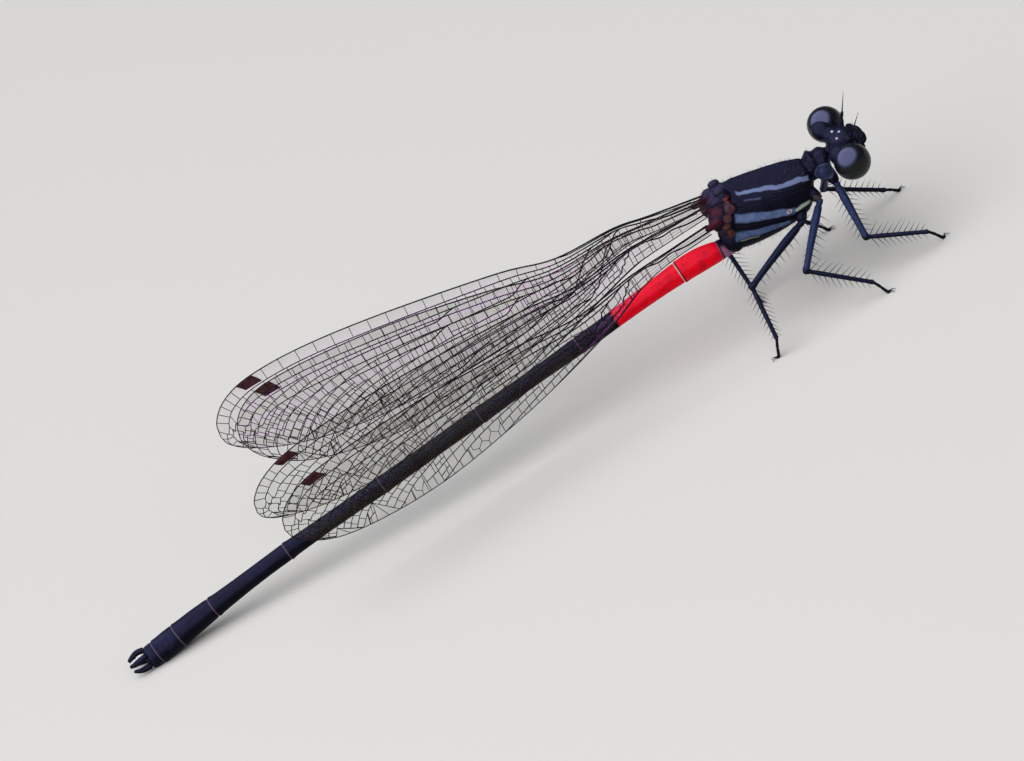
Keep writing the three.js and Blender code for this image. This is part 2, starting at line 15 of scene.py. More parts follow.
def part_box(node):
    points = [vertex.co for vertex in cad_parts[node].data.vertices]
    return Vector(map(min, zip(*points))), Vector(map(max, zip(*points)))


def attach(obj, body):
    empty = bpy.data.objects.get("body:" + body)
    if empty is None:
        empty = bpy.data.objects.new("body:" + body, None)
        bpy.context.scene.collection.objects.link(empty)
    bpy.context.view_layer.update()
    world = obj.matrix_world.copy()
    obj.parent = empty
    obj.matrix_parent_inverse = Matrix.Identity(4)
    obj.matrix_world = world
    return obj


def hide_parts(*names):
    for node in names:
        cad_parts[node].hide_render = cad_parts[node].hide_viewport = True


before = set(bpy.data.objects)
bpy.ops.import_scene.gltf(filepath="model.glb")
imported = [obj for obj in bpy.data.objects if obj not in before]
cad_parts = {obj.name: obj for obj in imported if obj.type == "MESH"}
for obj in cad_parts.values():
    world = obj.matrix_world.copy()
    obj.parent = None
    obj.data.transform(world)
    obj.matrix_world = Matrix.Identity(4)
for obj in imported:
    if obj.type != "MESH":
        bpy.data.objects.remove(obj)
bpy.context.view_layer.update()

MM = 0.001
PROTHORAX_FRONT = 6.04
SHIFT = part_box("prothorax")[1][0] / MM - PROTHORAX_FRONT
RANDOM = np.random.default_rng(7)
SIDES = ((1, "left"), (-1, "right"))

# Camera: the view of the photo; the insect's slope there is taken up by the camera's roll
AIM = (-11.59, 0.0, 3.54)
CAMERA_DISTANCE = 300.0
CAMERA_HEIGHT_ANGLE = math.radians(30)
CAMERA_ROLL = math.radians(30.2)
LENS = 228.9
SENSOR = 36.0

# Tail: its joints from front to back as x, z and radius, and how far each segment is drawn in or swells
TAIL_JOINTS = [
    (0.30, 3.95, 0.42), (-0.31, 3.99, 0.46), (-2.42, 4.04, 0.53), (-8.10, 3.38, 0.42),
    (-13.69, 2.80, 0.42), (-19.18, 2.22, 0.42), (-24.51, 1.70, 0.43), (-28.79, 1.10, 0.50),
    (-30.84, 0.75, 0.58), (-32.07, 0.53, 0.58), (-32.74, 0.46, 0.50),
]
TAIL_WAIST = [1, 1.13, 0.9, 0.9, 0.95, 0.93, 0.92, 1.02, 1.04, 1.04]
TAIL_ROWS_PER_MM = 14
TAIL_SIDES = 48
TAIL_INSIDE_THORAX = 0.35
TAIL_END_ROUND = 0.22
TAIL_LEAST_HEIGHT = 0.4
JOINT_STEP = {"height": 0.03, "before": 0.16, "after": 0.09}
# Stretches of its colours, in millimetres along it
TAIL_COLOURS = {"first": (0.0, 0.6), "red": (0.66, 6.4), "bright_ring": (2.0, 4.0), "end_bloom": (31.6, 40)}

# Claspers: height and distance out of their roots, and their way as distance back, out, up and radius
CLASPERS = {
    "cercus": {
        "height": 0.82, "out": 0.31,
        "way": [
            (0, 0, 0, 0.15), (0.3, 0.08, 0, 0.145), (0.6, 0.05, -0.08, 0.13), (0.84, -0.06, -0.14, 0.085),
        ],
    },
    "paraproct": {
        "height": 0.26, "out": 0.31,
        "way": [
            (0, 0, 0, 0.17), (0.36, 0.05, 0.02, 0.14), (0.6, 0.02, 0.06, 0.11), (0.82, -0.03, 0.14, 0.07),
        ],
    },
}

# Thorax: sections from back to front as x, top, bottom and half width, and the curve of one side
THORAX_SECTIONS = [
    (0.5, 6.1, 3.65, 0.7), (0.62, 6.3, 3.6, 0.86), (1.15, 6.96, 3.48, 1.08), (2.0, 6.84, 3.42, 1.2),
    (3.0, 6.62, 3.42, 1.22), (4.0, 6.36, 3.55, 1.14), (4.55, 6.15, 3.95, 0.98), (4.92, 5.98, 4.6, 0.7),
    (5.02, 5.8, 4.8, 0.4),
]
THORAX_SIDE = [
    (0, 1), (0.3, 0.9), (0.74, 0.6), (0.98, 0.18), (0.98, -0.3), (0.72, -0.76), (0.34, -0.96), (0, -1),
]
# Prothorax and neck: sections from back to front as x, middle height, half width and half height
PROTHORAX_SECTIONS = [
    (4.8, 5.2, 0.5, 0.5), (5.16, 5.38, 0.6, 0.66), (5.34, 5.43, 0.66, 0.76), (5.52, 5.38, 0.62, 0.64),
    (5.72, 5.36, 0.7, 0.64), (5.9, 5.42, 0.68, 0.6), (6.04, 5.5, 0.5, 0.46), (6.2, 5.56, 0.3, 0.3),
    (6.55, 5.68, 0.28, 0.28),
]
# Lumps that fill the body at the wings, the tail and the front legs, as places and radii
HINGE_LUMPS = [
    ((0.95, 0.42, 6.35), (0.5, 0.38, 0.55)), ((0.42, 0.78, 5.8), (0.62, 0.52, 0.66)),
    ((0.55, 0, 5.6), (0.62, 0.72, 0.95)), ((0.45, 0.42, 4.3), (0.5, 0.42, 0.6)),
    ((5.6, 0.5, 5.02), (0.36, 0.26, 0.42)), ((5.82, 0.4, 5.5), (0.2, 0.26, 0.3)),
]
THORAX_CELL = 0.045
CARINA = {"height": 0.09, "width": 0.07, "from": 1.3, "to": 4.95, "above": 5.6}
THORAX_HAIR = {"count": 1500, "length": (0.14, 0.3), "radius": 0.006}

# Head: turned a little, with its lobes and eyes in its own frame
HEAD_CENTRE = np.array([6.87, 0, 5.7])
HEAD_TURN = {"roll": 16, "pitch": -12, "yaw": -1.5}
HEAD_LOBES = [
    ((0, 0, 0), (0.55, 1.5, 0.62)), ((0.3, 0, 0.1), (0.5, 0.66, 0.5)), ((0.5, 0, -0.2), (0.5, 0.72, 0.4)),
    ((0.3, 0, -0.8), (0.42, 0.5, 0.38)), ((-0.12, 0.72, 0.2), (0.42, 0.72, 0.46)),
    ((-0.12, -0.72, 0.2), (0.42, 0.72, 0.46)), ((-0.3, 0, -0.05), (0.36, 0.5, 0.42)),
    ((-0.26, 1.0, 0.38), (0.5, 0.56, 0.48)), ((-0.26, -1.0, 0.38), (0.5, 0.56, 0.48)),
]
FACE_PLATES = [
    ((0.8, 0, 0.02), (0.26, 0.6, 0.17)), ((0.93, 0, -0.22), (0.26, 0.5, 0.14)),
    ((0.9, 0, -0.56), (0.28, 0.46, 0.24)),
    ((0.6, 0.46, -0.6), (0.26, 0.16, 0.3)), ((0.6, -0.46, -0.6), (0.26, 0.16, 0.3)),
    ((0.62, 0.2, -0.96), (0.22, 0.17, 0.16)), ((0.62, -0.2, -0.96), (0.22, 0.17, 0.16)),
]
HEAD_CELL = 0.035
EYE_RADII = (0.86, 0.8, 0.9)
EYE_OUT = (0, 1.47, 0.02)
# Heights on the insect between which the lower rim of the eye turns greenish
EYE_GREEN_BELOW = (5.35, 4.8)
EYE_LENS_SIZE = 0.05
OCELLI = [(0.36, 0, 0.53), (0.1, 0.27, 0.56), (0.1, -0.27, 0.56)]
OCELLUS_RADIUS = 0.095
FACE_HAIR = {"count": 34, "length": (0.22, 0.42), "radius": 0.009}
FEELER_ROOT = np.array([0.64, 0.5, 0.36])
FEELER_DIRECTION = np.array([0.62, 0.2, 0.7])
FEELER_CURL = np.array([0.1, 0, 0.16])
# Length along the feeler and its radius there
FEELER_STEPS = [
    (0, 0.12), (0.1, 0.11), (0.2, 0.1), (0.24, 0.07), (0.5, 0.075), (0.6, 0.06), (0.64, 0.035), (1.0, 0.022),
    (1.55, 0.008),
]

# Legs: root of the coxa and hip on the left side, then knee, ankle and toe of each leg
HIPS = {
    "front": [(5.75, 0.3, 5.2), (5.85, 0.66, 4.36)],
    "middle": [(4.5, 0.55, 4.9), (4.8, 1.02, 4.2)],
    "hind": [(3.9, 0.5, 4.3), (3.6, 1.08, 3.7)],
}
LEGS = {
    "front_left": [(5.38, 2.4, 2.64), (7.94, 3.0, 0.57), (8.6, 3.23, 0)],
    "front_right": [(5.74, -2.6, 2.18), (8.34, -2.9, 0.95), (8.95, -2.5, 0)],
    "middle_left": [(2.61, 3.2, 2.82), (4.31, 3.4, 0.62), (4.85, 3.29, 0)],
    "middle_right": [(2.53, -3.6, 2.81), (4.95, -4.1, 0.8), (5.42, -4.32, 0)],
    "hind_left": [(0.07, 2.8, 2.63), (0.22, 1.25, 0.6), (0.26, 0.62, 0)],
    "hind_right": [(0.03, -3.2, 3.28), (-0.17, -4.35, 0.95), (-0.6, -4.36, 0)],
}
COXA_RADIUS = 0.3
KNEE_RADIUS = 0.165
# Shares of the length of each part and the radius there
FEMUR_SHAPE = [
    (0, 0.15), (0.04, 0.17), (0.07, 0.13), (0.12, 0.18), (0.3, 0.2), (0.7, 0.165), (0.93, 0.15),
    (0.97, 0.18), (1, 0.16),
]
TIBIA_SHAPE = [
    (0, 0.14), (0.03, 0.15), (0.07, 0.1), (0.2, 0.115), (0.7, 0.105), (0.94, 0.1), (0.985, 0.125), (1, 0.11),
]
TARSUS_SHAPE = [
    (0, 0.07), (0.04, 0.075), (0.14, 0.075), (0.19, 0.055), (0.23, 0.075), (0.42, 0.075), (0.47, 0.05),
    (0.52, 0.07), (0.92, 0.08), (1, 0.06),
]
# Feet: half the thickness at the floor, the flat length behind the tip, and the claws
SOLE = 0.085
SOLE_LENGTH = 0.12
CLAW = {"length": 0.26, "spread": 0.12, "radius": 0.03}
# How much wax shows on the parts of a leg
WAX = {"femur": 0.75, "hind_femur": 0.15, "tibia": 0.12}
# Bristles: two rows on a limb, where they stand, their length and turn downwards in either row
TIBIA_BRISTLES = {
    "count": 10, "from": 0.06, "to": 0.98, "lean": 0.7, "shrink": 0.55,
    "length": (0.88, 0.66), "drop": (-0.9, 0.7),
}
FEMUR_BRISTLES = {
    "count": 8, "from": 0.22, "to": 0.95, "lean": 0.5, "shrink": 0.2,
    "length": (0.6, 0.6), "drop": (0.5, 0.5),
}
BRISTLE_RADIUS = 0.022
BRISTLE_CLEARANCE = 0.045

# Wings: hinge, how fast they spread, and their front and hind edges as distance back and height
WING_LEAN = math.tan(math.radians(12))
WINGS = {
    "forewing": {
        "hinge": (0.32, 0.47, 6.5), "spread": 0.137,
        "upper": [(0, 0.12), (2.7, 0.4), (4.4, 0.62), (7.4, 0.56), (10.1, 1.15), (15.6, 1.87), (19.6, 2.15),
                  (22.4, 2.0), (23.9, 1.5), (24.7, 0.75), (24.9, 0)],
        "lower": [(0, -0.46), (2.4, -0.4), (4.2, -0.42), (6.6, -1.0), (9.9, -1.9), (13, -2.3), (16.4, -2.45),
                  (19.6, -2.3), (22.1, -1.82), (23.9, -1.1), (24.7, -0.5), (24.9, 0)],
        "nodus": 7.4,
    },
    "hindwing": {
        "hinge": (-0.34, 1.27, 6.05), "spread": 0.15,
        "upper": [(0, 0.12), (2.2, 0.17), (4.2, 0.22), (7.3, 0), (10.2, 0.58), (14.3, 1.15), (18.4, 1.38),
                  (21.2, 1.28), (22.55, 0.85), (23.3, 0.15), (23.55, -0.6)],
        "lower": [(0, -0.46), (2.2, -0.44), (3.9, -0.75), (6.2, -1.75), (9.4, -2.65), (12.2, -3.2),
                  (15.6, -3.6), (18.5, -3.5), (21.2, -2.95), (22.7, -2.1), (23.35, -1.35), (23.55, -0.6)],
        "nodus": 7.3,
    },
}
MEMBRANE_THICKNESS = 0.02
PLEAT = {"height": 0.07, "folds": 4.5}

# Main veins: share of the wing's depth they start at, share of its length where they meet the hind edge,
# how late they bend down, and the distance back and the vein they branch from
VEINS = {
    "radius": (0.125, 0.992, 40, 0, None),
    "radial_sector_1": (0.235, 0.966, 16, 4.3, "radius"),
    "intercalary_1": (0.32, 0.925, 17, 12.4, "radial_sector_1"),
    "radial_sector_2": (0.405, 0.87, 11, 8.8, "radial_sector_1"),
    "intercalary_2": (0.53, 0.79, 7, 6.8, "radial_sector_3"),
    "radial_sector_3": (0.67, 0.69, 5.2, 5.6, "radial_sector_1"),
    "media": (0.81, 0.54, 4, 4.1, "radius"),
    "cubitus": (0.92, 0.42, 4, 3.0, None),
}
# The first two of them follow the front edge round the tip: how far before and past the tip they close in
ROUND_TIP = {"radius": (0.5, 0.7), "radial_sector_1": (1.3, 1.9)}
ROUND_FROM = 17.0
BRANCH_EASE = 1.3
ROOT_DROP = {"depth": 0.38, "from": 0.8, "to": 4.2}
VEIN_RADIUS = {"costa": 0.04, "main": 0.027, "cross": 0.0165, "rear": 0.021}
# Cross-veins: their spacing along the wing, and the size of cells
CROSS_PITCH = {"costal": 0.88, "tip": 0.4, "least": 0.34, "most": 0.6, "per_height": 1.15}
TALL_CELL = 0.66
LEAST_CELL = 0.07
ZIGZAG = {"step": 5, "swing": 0.13}
PAIR_SPACING = 0.06
FINE_STEP = 0.03
TIP_STEP = 0.05
WIDE_CORNER = 0.5
STIGMA = {"from": 0.893, "to": 0.928, "slant": 0.34, "rise": 0.045}

# Stripes of the thorax on its side view: x and z of both ends, half their width, and its change to the front
STRIPES = {
    "shoulder": [((1.5, 6.54), (4.9, 5.36), 0.08, 1.9)],
    "flank": [((0.9, 5.6), (3.6, 4.44), 0.29, 0.8), ((3.4, 4.5), (4.3, 4.35), 0.16, 0.8)],
    "hip": [((0.55, 4.66), (3.2, 3.93), 0.34, 0.4)],
    "rear_line": [((1.65, 6.14), (2.5, 5.82), 0.05, 1.0)],
}
STRIPE_WOBBLE = 0.22
# Smaller marks of the thorax: bands like the stripes, and spots as centre and radii
PALE_STRIPE_END = ((3.5, 4.47), (4.4, 4.36), 0.13)
PALE_LOWER_RIM = ((0.7, 4.33), (1.6, 4.06), 0.05)
FRONT_PATCH = ((4.5, 4.5), (5.0, 4.25), 0.2)
SPIRACLE = ((3.3, 4.56), (0.17, 0.12))
COLLAR = ((5.62, 5.16), (0.5, 0.44))
SUTURES = [
    ((1.2, 6.0), (4.6, 5.1), 0.035), ((0.75, 5.16), (3.6, 4.2), 0.035), ((1.1, 6.8), (1.25, 6.1), 0.04),
]

# Plates and lumps round the wing roots, each with its place, radii and tone
WING_ROOTS = [
    ((1.0, 0.94, 6.2), (0.26, 0.14, 0.3), "dusty"), ((0.66, 1.06, 5.9), (0.2, 0.15, 0.24), "dusty"),
    ((1.04, 0.74, 6.62), (0.18, 0.14, 0.12), "salmon"), ((0.42, 1.14, 5.56), (0.18, 0.12, 0.2), "ochre"),
    ((0.46, 1.0, 5.04), (0.22, 0.14, 0.26), "ochre"), ((0.12, 1.16, 6.0), (0.3, 0.2, 0.2), "rust"),
    ((-0.22, 1.24, 5.96), (0.3, 0.12, 0.2), "rust"), ((0.3, 0.5, 6.42), (0.36, 0.15, 0.22), "rust"),
    ((0.92, 0.44, 6.94), (0.3, 0.2, 0.16), "lilac"), ((0.5, 0.6, 6.62), (0.3, 0.2, 0.16), "lilac"),
    ((0.2, 0.9, 5.2), (0.2, 0.16, 0.3), "lilac"),
]
ROOT_TONES = {
    "dusty": ("#3f2630", "#5a3a3c"), "salmon": ("#743430", "#4c2224"), "ochre": ("#5e3428", "#3a1e1c"),
    "rust": ("#3c0f14", "#1c080c"), "lilac": ("#2c2638", "#1a1622"),
}


def to_frame(points):
    """Points in metres in the frame of the solids."""
    return (np.asarray(points, float) + (SHIFT, 0, 0)) * MM


def unit(vectors):
    vectors = np.asarray(vectors, float)
    return vectors / np.linalg.norm(vectors, axis=-1, keepdims=True)


def smoothstep(values, low, high):
    share = np.clip((values - low) / (high - low), 0, 1)
    return share * share * (3 - 2 * share)


def hump(values, middle, width):
    """1 at the middle value, falling off softly on both sides."""
    return np.exp(-(((values - middle) / width) ** 2))


def run_along(line):
    """Length of a line up to each of its points."""
    return np.concatenate([[0], np.cumsum(np.linalg.norm(np.diff(line, axis=0), axis=1))])


def at_runs(line, run, wanted):
    """Points of a line at the wanted lengths along it."""
    return np.column_stack([np.interp(wanted, run, column) for column in line.T])


def smooth_line(points, count, steps=24):
    """Evenly spaced points on a smooth curve through the given ones; further columns are carried along."""
    knots = np.array(points, float)
    knots = np.vstack([2 * knots[0] - knots[1], knots, 2 * knots[-1] - knots[-2]])
    share = np.linspace(0, 1, steps, endpoint=False)[:, None]
    spans = [
        0.5 * (2 * b + (c - a) * share + (2 * a - 5 * b + 4 * c - d) * share**2
               + (3 * b - a - 3 * c + d) * share**3)
        for a, b, c, d in zip(knots, knots[1:], knots[2:], knots[3:])
    ]
    line = np.vstack(spans + [knots[-2:-1]])
    run = run_along(line)
    return at_runs(line, run, np.linspace(0, run[-1], count))


def evenly(line, spacing):
    """Points at an even spacing along a line."""
    run = run_along(line)
    count = max(int(round(run[-1] / spacing)) + 1, 2)
    return at_runs(line, run, np.linspace(0, run[-1], count))


def rings_to_shape(rings):
    """A closed shape over rows of ring points, with a point in the middle of each end."""
    rows, sides = rings.shape[:2]
    points = np.vstack([rings.reshape(-1, 3), rings[0].mean(axis=0), rings[-1].mean(axis=0)])
    first, last = rows * sides, rows * sides + 1
    faces = []
    for k in range(sides):
        after = (k + 1) % sides
        for row in range(0, (rows - 1) * sides, sides):
            faces.append((row + k, row + after, row + sides + after, row + sides + k))
        faces.append((first, after, k))
        faces.append((last, (rows - 1) * sides + k, (rows - 1) * sides + after))
    return points, faces


def tube(line, radii, sides):
    """A tube of rings on a line."""
    line = np.asarray(line, float)
    tangents = unit(np.gradient(line, axis=0))
    upright = np.array([0, 0, 1.0]) if abs(tangents[:, 2]).max() < 0.97 else np.array([1.0, 0, 0])
    across = unit(np.cross(upright, tangents))
    above = np.cross(tangents, across)
    turn = np.linspace(0, 2 * math.pi, sides, endpoint=False)
    radii = np.broadcast_to(radii, len(line))
    rings = (
        line[:, None]
        + radii[:, None, None] * np.cos(turn)[None, :, None] * across[:, None]
        + radii[:, None, None] * np.sin(turn)[None, :, None] * above[:, None]
    )
    return rings_to_shape(rings)


def limb(start, end, shape, rows, sides, bow=0.0):
    """A tube between two points whose radius follows a list of length shares and radii."""
    start, end = np.array(start, float), np.array(end, float)
    share = np.linspace(0, 1, rows)
    line = start + (end - start) * share[:, None]
    line[:, 2] += bow * np.sin(math.pi * share)
    knots = np.array(shape)
    return tube(line, np.interp(share, knots[:, 0], knots[:, 1]), sides)


def ball(centre, radii, around=28, over=18):
    """A closed ellipsoid."""
    turn = np.linspace(0, 2 * math.pi, around, endpoint=False)
    rise = np.linspace(-math.pi / 2, math.pi / 2, over + 2)[1:-1]
    rings = np.stack([
        np.cos(rise)[:, None] * np.cos(turn), np.cos(rise)[:, None] * np.sin(turn),
        np.broadcast_to(np.sin(rise)[:, None], (over, around)),
    ], axis=-1)
    points, faces = rings_to_shape(rings)
    points[-2], points[-1] = (0, 0, -1), (0, 0, 1)
    return points * radii + centre, faces


def mirrored(shape):
    """The same shape on the other side of the insect."""
    points, faces = shape
    return points * (1, -1, 1), [face[::-1] for face in faces]


def joined(shapes):
    """One list of points and one of faces for several shapes."""
    points, faces, offset = [], [], 0
    for some_points, some_faces in shapes:
        points.append(some_points)
        faces.extend(tuple(k + offset for k in face) for face in some_faces)
        offset += len(some_points)
    return np.vstack(points), faces


def plain_object(name, points, faces, edges=()):
    mesh = bpy.data.meshes.new(name)
    mesh.from_pydata([tuple(point) for point in points], edges, faces)
    thing = bpy.data.objects.new(name, mesh)
    bpy.context.scene.collection.objects.link(thing)
    return thing


def applied(thing):
    """The object's mesh with its modifiers carried out, and the modifiers gone."""
    depsgraph = bpy.context.evaluated_depsgraph_get()
    mesh = bpy.data.meshes.new_from_object(thing.evaluated_get(depsgraph), depsgraph=depsgraph)
    thing.modifiers.clear()
    old, thing.data = thing.data, mesh
    bpy.data.meshes.remove(old)
    return mesh


def fused(shapes, cell, softness):
    """One closed skin over shapes that overlap."""
    thing = plain_object("fused", *joined(shapes))
    skin = thing.modifiers.new("skin", "REMESH")
    skin.mode = "VOXEL"
    skin.voxel_size = cell
    soft = thing.modifiers.new("soft", "SMOOTH")
    soft.factor = 0.5
    soft.iterations = softness
    mesh = applied(thing)
    points = np.array([vertex.co[:] for vertex in mesh.vertices])
    faces = [tuple(face.vertices) for face in mesh.polygons]
    bpy.data.objects.remove(thing)
    return points, faces


def finish_piece(thing, nodes=()):
    thing.data.polygons.foreach_set("use_smooth", [True] * len(thing.data.polygons))
    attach(thing, "root")
    if nodes:
        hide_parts(*nodes)
    return thing


def give(thing, label, values, kind="FLOAT"):
    """Stores a value, or a vector, for each point of an object's mesh."""
    layer = thing.data.attributes.new(label, kind, "POINT")
    field = "value" if kind == "FLOAT" else "vector"
    layer.data.foreach_set(field, np.asarray(values, np.float32).ravel())


def piece(name, shape, material, nodes=(), attributes=None):
    """A finished object from points in millimetres and faces, kept above the floor."""
    points, faces = shape
    places = to_frame(points)
    places[:, 2] = np.maximum(places[:, 2], 0)
    thing = plain_object(name, places, faces)
    facing_out(thing)
    for label, values in (attributes or {}).items():
        give(thing, label, values)
    thing.data.materials.append(material)
    return finish_piece(thing, nodes)


def facing_out(thing):
    """Turns all faces of an object outwards."""
    work = bmesh.new()
    work.from_mesh(thing.data)
    bmesh.ops.recalc_face_normals(work, faces=work.faces)
    work.to_mesh(thing.data)
    work.free()


# Node trees
SOFT = {"interpolation_type": "SMOOTHSTEP"}


def hex_colour(text):
    """Linear colour of an sRGB hex value."""
    parts = [int(text[k:k + 2], 16) / 255 for k in (1, 3, 5)]
    return (*(part / 12.92 if part <= 0.04045 else ((part + 0.055) / 1.055) ** 2.4 for part in parts), 1.0)


def set_value(socket, value):
    """Sets a socket's own value; a text that starts with # is an sRGB hex colour."""
    is_colour = isinstance(value, str) and value.startswith("#")
    socket.default_value = hex_colour(value) if is_colour else value


def add(tree, kind, sockets=None, **settings):
    """Adds a node with its settings; a socket gets a value, a socket to link, or a node's first output."""
    made = tree.nodes.new(kind)
    for name, value in settings.items():
        setattr(made, name, value)
    for key, value in (sockets or {}).items():
        if isinstance(value, bpy.types.Node):
            value = value.outputs[0]
        if isinstance(value, bpy.types.NodeSocket):
            tree.links.new(value, made.inputs[key])
        else:
            set_value(made.inputs[key], value)
    return made


def new_finish(name, **values):
    """A material with one shader, whose constant values are set on its own sockets."""
    material = bpy.data.materials.new(name)
    material.use_nodes = True
    shader = next(each for each in material.node_tree.nodes if each.type == "BSDF_PRINCIPLED")
    for socket, value in values.items():
        set_value(shader.inputs[socket.replace("_", " ")], value)
    return material, material.node_tree, shader


def insect_mm(tree):
    """Place on the insect in millimetres, in the frame of the sizes above."""
    place = add(tree, "ShaderNodeTexCoord").outputs["Object"]
    return add(tree, "ShaderNodeMapping", {
        "Vector": place, "Location": (-SHIFT, 0, 0), "Scale": (1 / MM,) * 3,
    })


def band(tree, place, start, end, half_width, soft=0.3, taper=1.0):
    """1 inside a band between two points of the side view, fading over its rim."""
    run = (end[0] - start[0], end[1] - start[1])
    length = math.hypot(*run)
    mapping = add(tree, "ShaderNodeMapping", {
        "Vector": place, "Location": (start[0], 0, start[1]), "Scale": (length, 1, half_width),
        "Rotation": (0, math.atan2(-run[1], run[0]), 0),
    }, vector_type="TEXTURE")
    parts = add(tree, "ShaderNodeSeparateXYZ", {0: mapping})
    across = add(tree, "ShaderNodeMath", {0: parts.outputs["Z"]}, operation="ABSOLUTE")
    if taper != 1:
        width = add(tree, "ShaderNodeMapRange", {0: parts, 3: 1.0, 4: taper})
        across = add(tree, "ShaderNodeMath", {0: across, 1: width}, operation="DIVIDE")
    middle = add(tree, "ShaderNodeMath", {0: parts, 1: 0.5}, operation="SUBTRACT")
    along = add(tree, "ShaderNodeMath", {0: middle}, operation="ABSOLUTE")
    end_soft = min(0.12 / length, 0.2)
    wide = add(tree, "ShaderNodeMapRange", {0: across, 1: 1.0, 2: 1.0 - soft}, **SOFT)
    long = add(tree, "ShaderNodeMapRange", {0: along, 1: 0.5, 2: 0.5 - end_soft}, **SOFT)
    return add(tree, "ShaderNodeMath", {0: wide, 1: long}, operation="MULTIPLY")


def spot(tree, place, centre, radii, soft=0.35):
    """1 inside an ellipse of the side view, fading over its rim, and the share left to its rim."""
    mapping = add(tree, "ShaderNodeMapping", {
        "Vector": place, "Location": (centre[0], 0, centre[1]), "Scale": (radii[0], 1000, radii[1]),
    }, vector_type="TEXTURE")
    left = add(tree, "ShaderNodeTexGradient", {"Vector": mapping}, gradient_type="SPHERICAL").outputs["Fac"]
    return add(tree, "ShaderNodeMapRange", {0: left, 1: 0.0, 2: soft}, **SOFT), left


def any_of(tree, masks):
    """The largest of several masks."""
    total = masks[0]
    for mask in masks[1:]:
        total = add(tree, "ShaderNodeMath", {0: total, 1: mask}, operation="MAXIMUM")
    return total


def painted(tree, base, layers):
    """Colours laid over one another, each where its mask says."""
    colour = base
    for mask, over in layers:
        mix = add(tree, "ShaderNodeMix", {0: mask, 6: colour, 7: over}, data_type="RGBA")
        colour = mix.outputs[2]
    return colour


def within(tree, value, low, high, soft):
    """1 where a value lies between two others."""
    up = add(tree, "ShaderNodeMapRange", {0: value, 1: low - soft, 2: low + soft}, **SOFT)
    down = add(tree, "ShaderNodeMapRange", {0: value, 1: high + soft, 2: high - soft}, **SOFT)
    return add(tree, "ShaderNodeMath", {0: up, 1: down}, operation="MULTIPLY")


def grained(tree, shader, place, grain_mm, strength, depth=0.004, detail=3.0):
    """Fine bumps from a noise whose grain and depth are given in millimetres."""
    grain = add(tree, "ShaderNodeTexNoise", {"Vector": place, "Scale": 1 / grain_mm, "Detail": detail})
    bump = add(tree, "ShaderNodeBump", {"Height": grain, "Strength": strength, "Distance": depth * MM})
    tree.links.new(bump.outputs["Normal"], shader.inputs["Normal"])
    return bump


def cloudy(tree, place, size_mm, low, high):
    """A soft mask of patches of the given size."""
    noise = add(tree, "ShaderNodeTexNoise", {
        "Vector": place, "Scale": 1 / size_mm, "Detail": 4.0, "Roughness": 0.6,
    })
    return add(tree, "ShaderNodeMapRange", {0: noise, 1: low, 2: high}, **SOFT)


def toned(name, base, tone, size_mm, low, high, **values):
    """A finish of one tone in soft patches of the given size over another."""
    material, tree, shader = new_finish(name, **values)
    place = insect_mm(tree)
    colour = painted(tree, base, [(cloudy(tree, place, size_mm, low, high), tone)])
    tree.links.new(colour, shader.inputs["Base Color"])
    return material, tree, shader, place


HAZE = {"IOR": 1.5, "Sheen_Roughness": 0.5, "Sheen_Tint": "#7d86d0"}


def black_chitin():
    # Black chitin under a thin wax bloom: deep black, soft highlights, a blue-violet haze on its curves
    material, tree, shader = new_finish(
        "waxed black chitin", Roughness=0.4, Specular_IOR_Level=0.036, Sheen_Weight=0.04, **HAZE,
    )
    place = insect_mm(tree)
    bloom = cloudy(tree, place, 0.5, 0.4, 0.8)
    speckle = cloudy(tree, place, 0.09, 0.3, 0.7)
    waxed = add(tree, "ShaderNodeAttribute", attribute_name="wax").outputs["Fac"]
    wax = painted(tree, "#121830", [(speckle, "#293757")])
    colour = painted(tree, "#06060c", [(bloom, "#0f101e"), (waxed, wax)])
    tree.links.new(colour, shader.inputs["Base Color"])
    grained(tree, shader, place, 0.05, 0.35)
    return material


def tail_chitin():
    # Chitin of the tail: crimson on the second and third segments, satin black behind, thin pale joint rings
    material, tree, shader = new_finish(
        "satin tail chitin", Roughness=0.38, Specular_IOR_Level=0.032, Sheen_Weight=0.03, **HAZE,
    )
    place = insect_mm(tree)
    along, joint, over = (
        add(tree, "ShaderNodeAttribute", attribute_name=name).outputs["Fac"]
        for name in ("along", "joint", "over")
    )
    bloom = cloudy(tree, place, 0.7, 0.45, 0.8)
    deep = cloudy(tree, place, 0.35, 0.4, 0.75)
    red = within(tree, along, *TAIL_COLOURS["red"], 0.06)
    pale_ring = within(tree, joint, 0.0, 0.05, 0.02)
    dark_ring = within(tree, joint, -0.07, 0.0, 0.02)
    bright = within(tree, along, *TAIL_COLOURS["bright_ring"], 0.1)
    first = within(tree, along, *TAIL_COLOURS["first"], 0.06)
    low_side = add(tree, "ShaderNodeMapRange", {0: over, 1: 0.85, 2: 0.3}, **SOFT)
    end = within(tree, along, *TAIL_COLOURS["end_bloom"], 0.8)
    faint_ring, bright_ring, first_side, end_bloom = (
        add(tree, "ShaderNodeMath", {0: one, 1: other}, operation="MULTIPLY")
        for one, other in ((pale_ring, 0.55), (pale_ring, bright), (first, low_side), (end, deep))
    )
    colour = painted(tree, "#06050c", [
        (bloom, "#0f0f1e"),
        (end_bloom, "#181a2e"),
        (red, painted(tree, "#e6041e", [(deep, "#c00319")])),
        (first_side, "#8a5a76"),
        (dark_ring, "#12060a"),
        (faint_ring, "#6b586c"),
        (bright_ring, "#d99a90"),
    ])
    tree.links.new(colour, shader.inputs["Base Color"])
    fine = add(tree, "ShaderNodeMapping", {"Vector": place, "Scale": (0.25, 1, 1)})
    grained(tree, shader, fine, 0.045, 0.4)
    return material


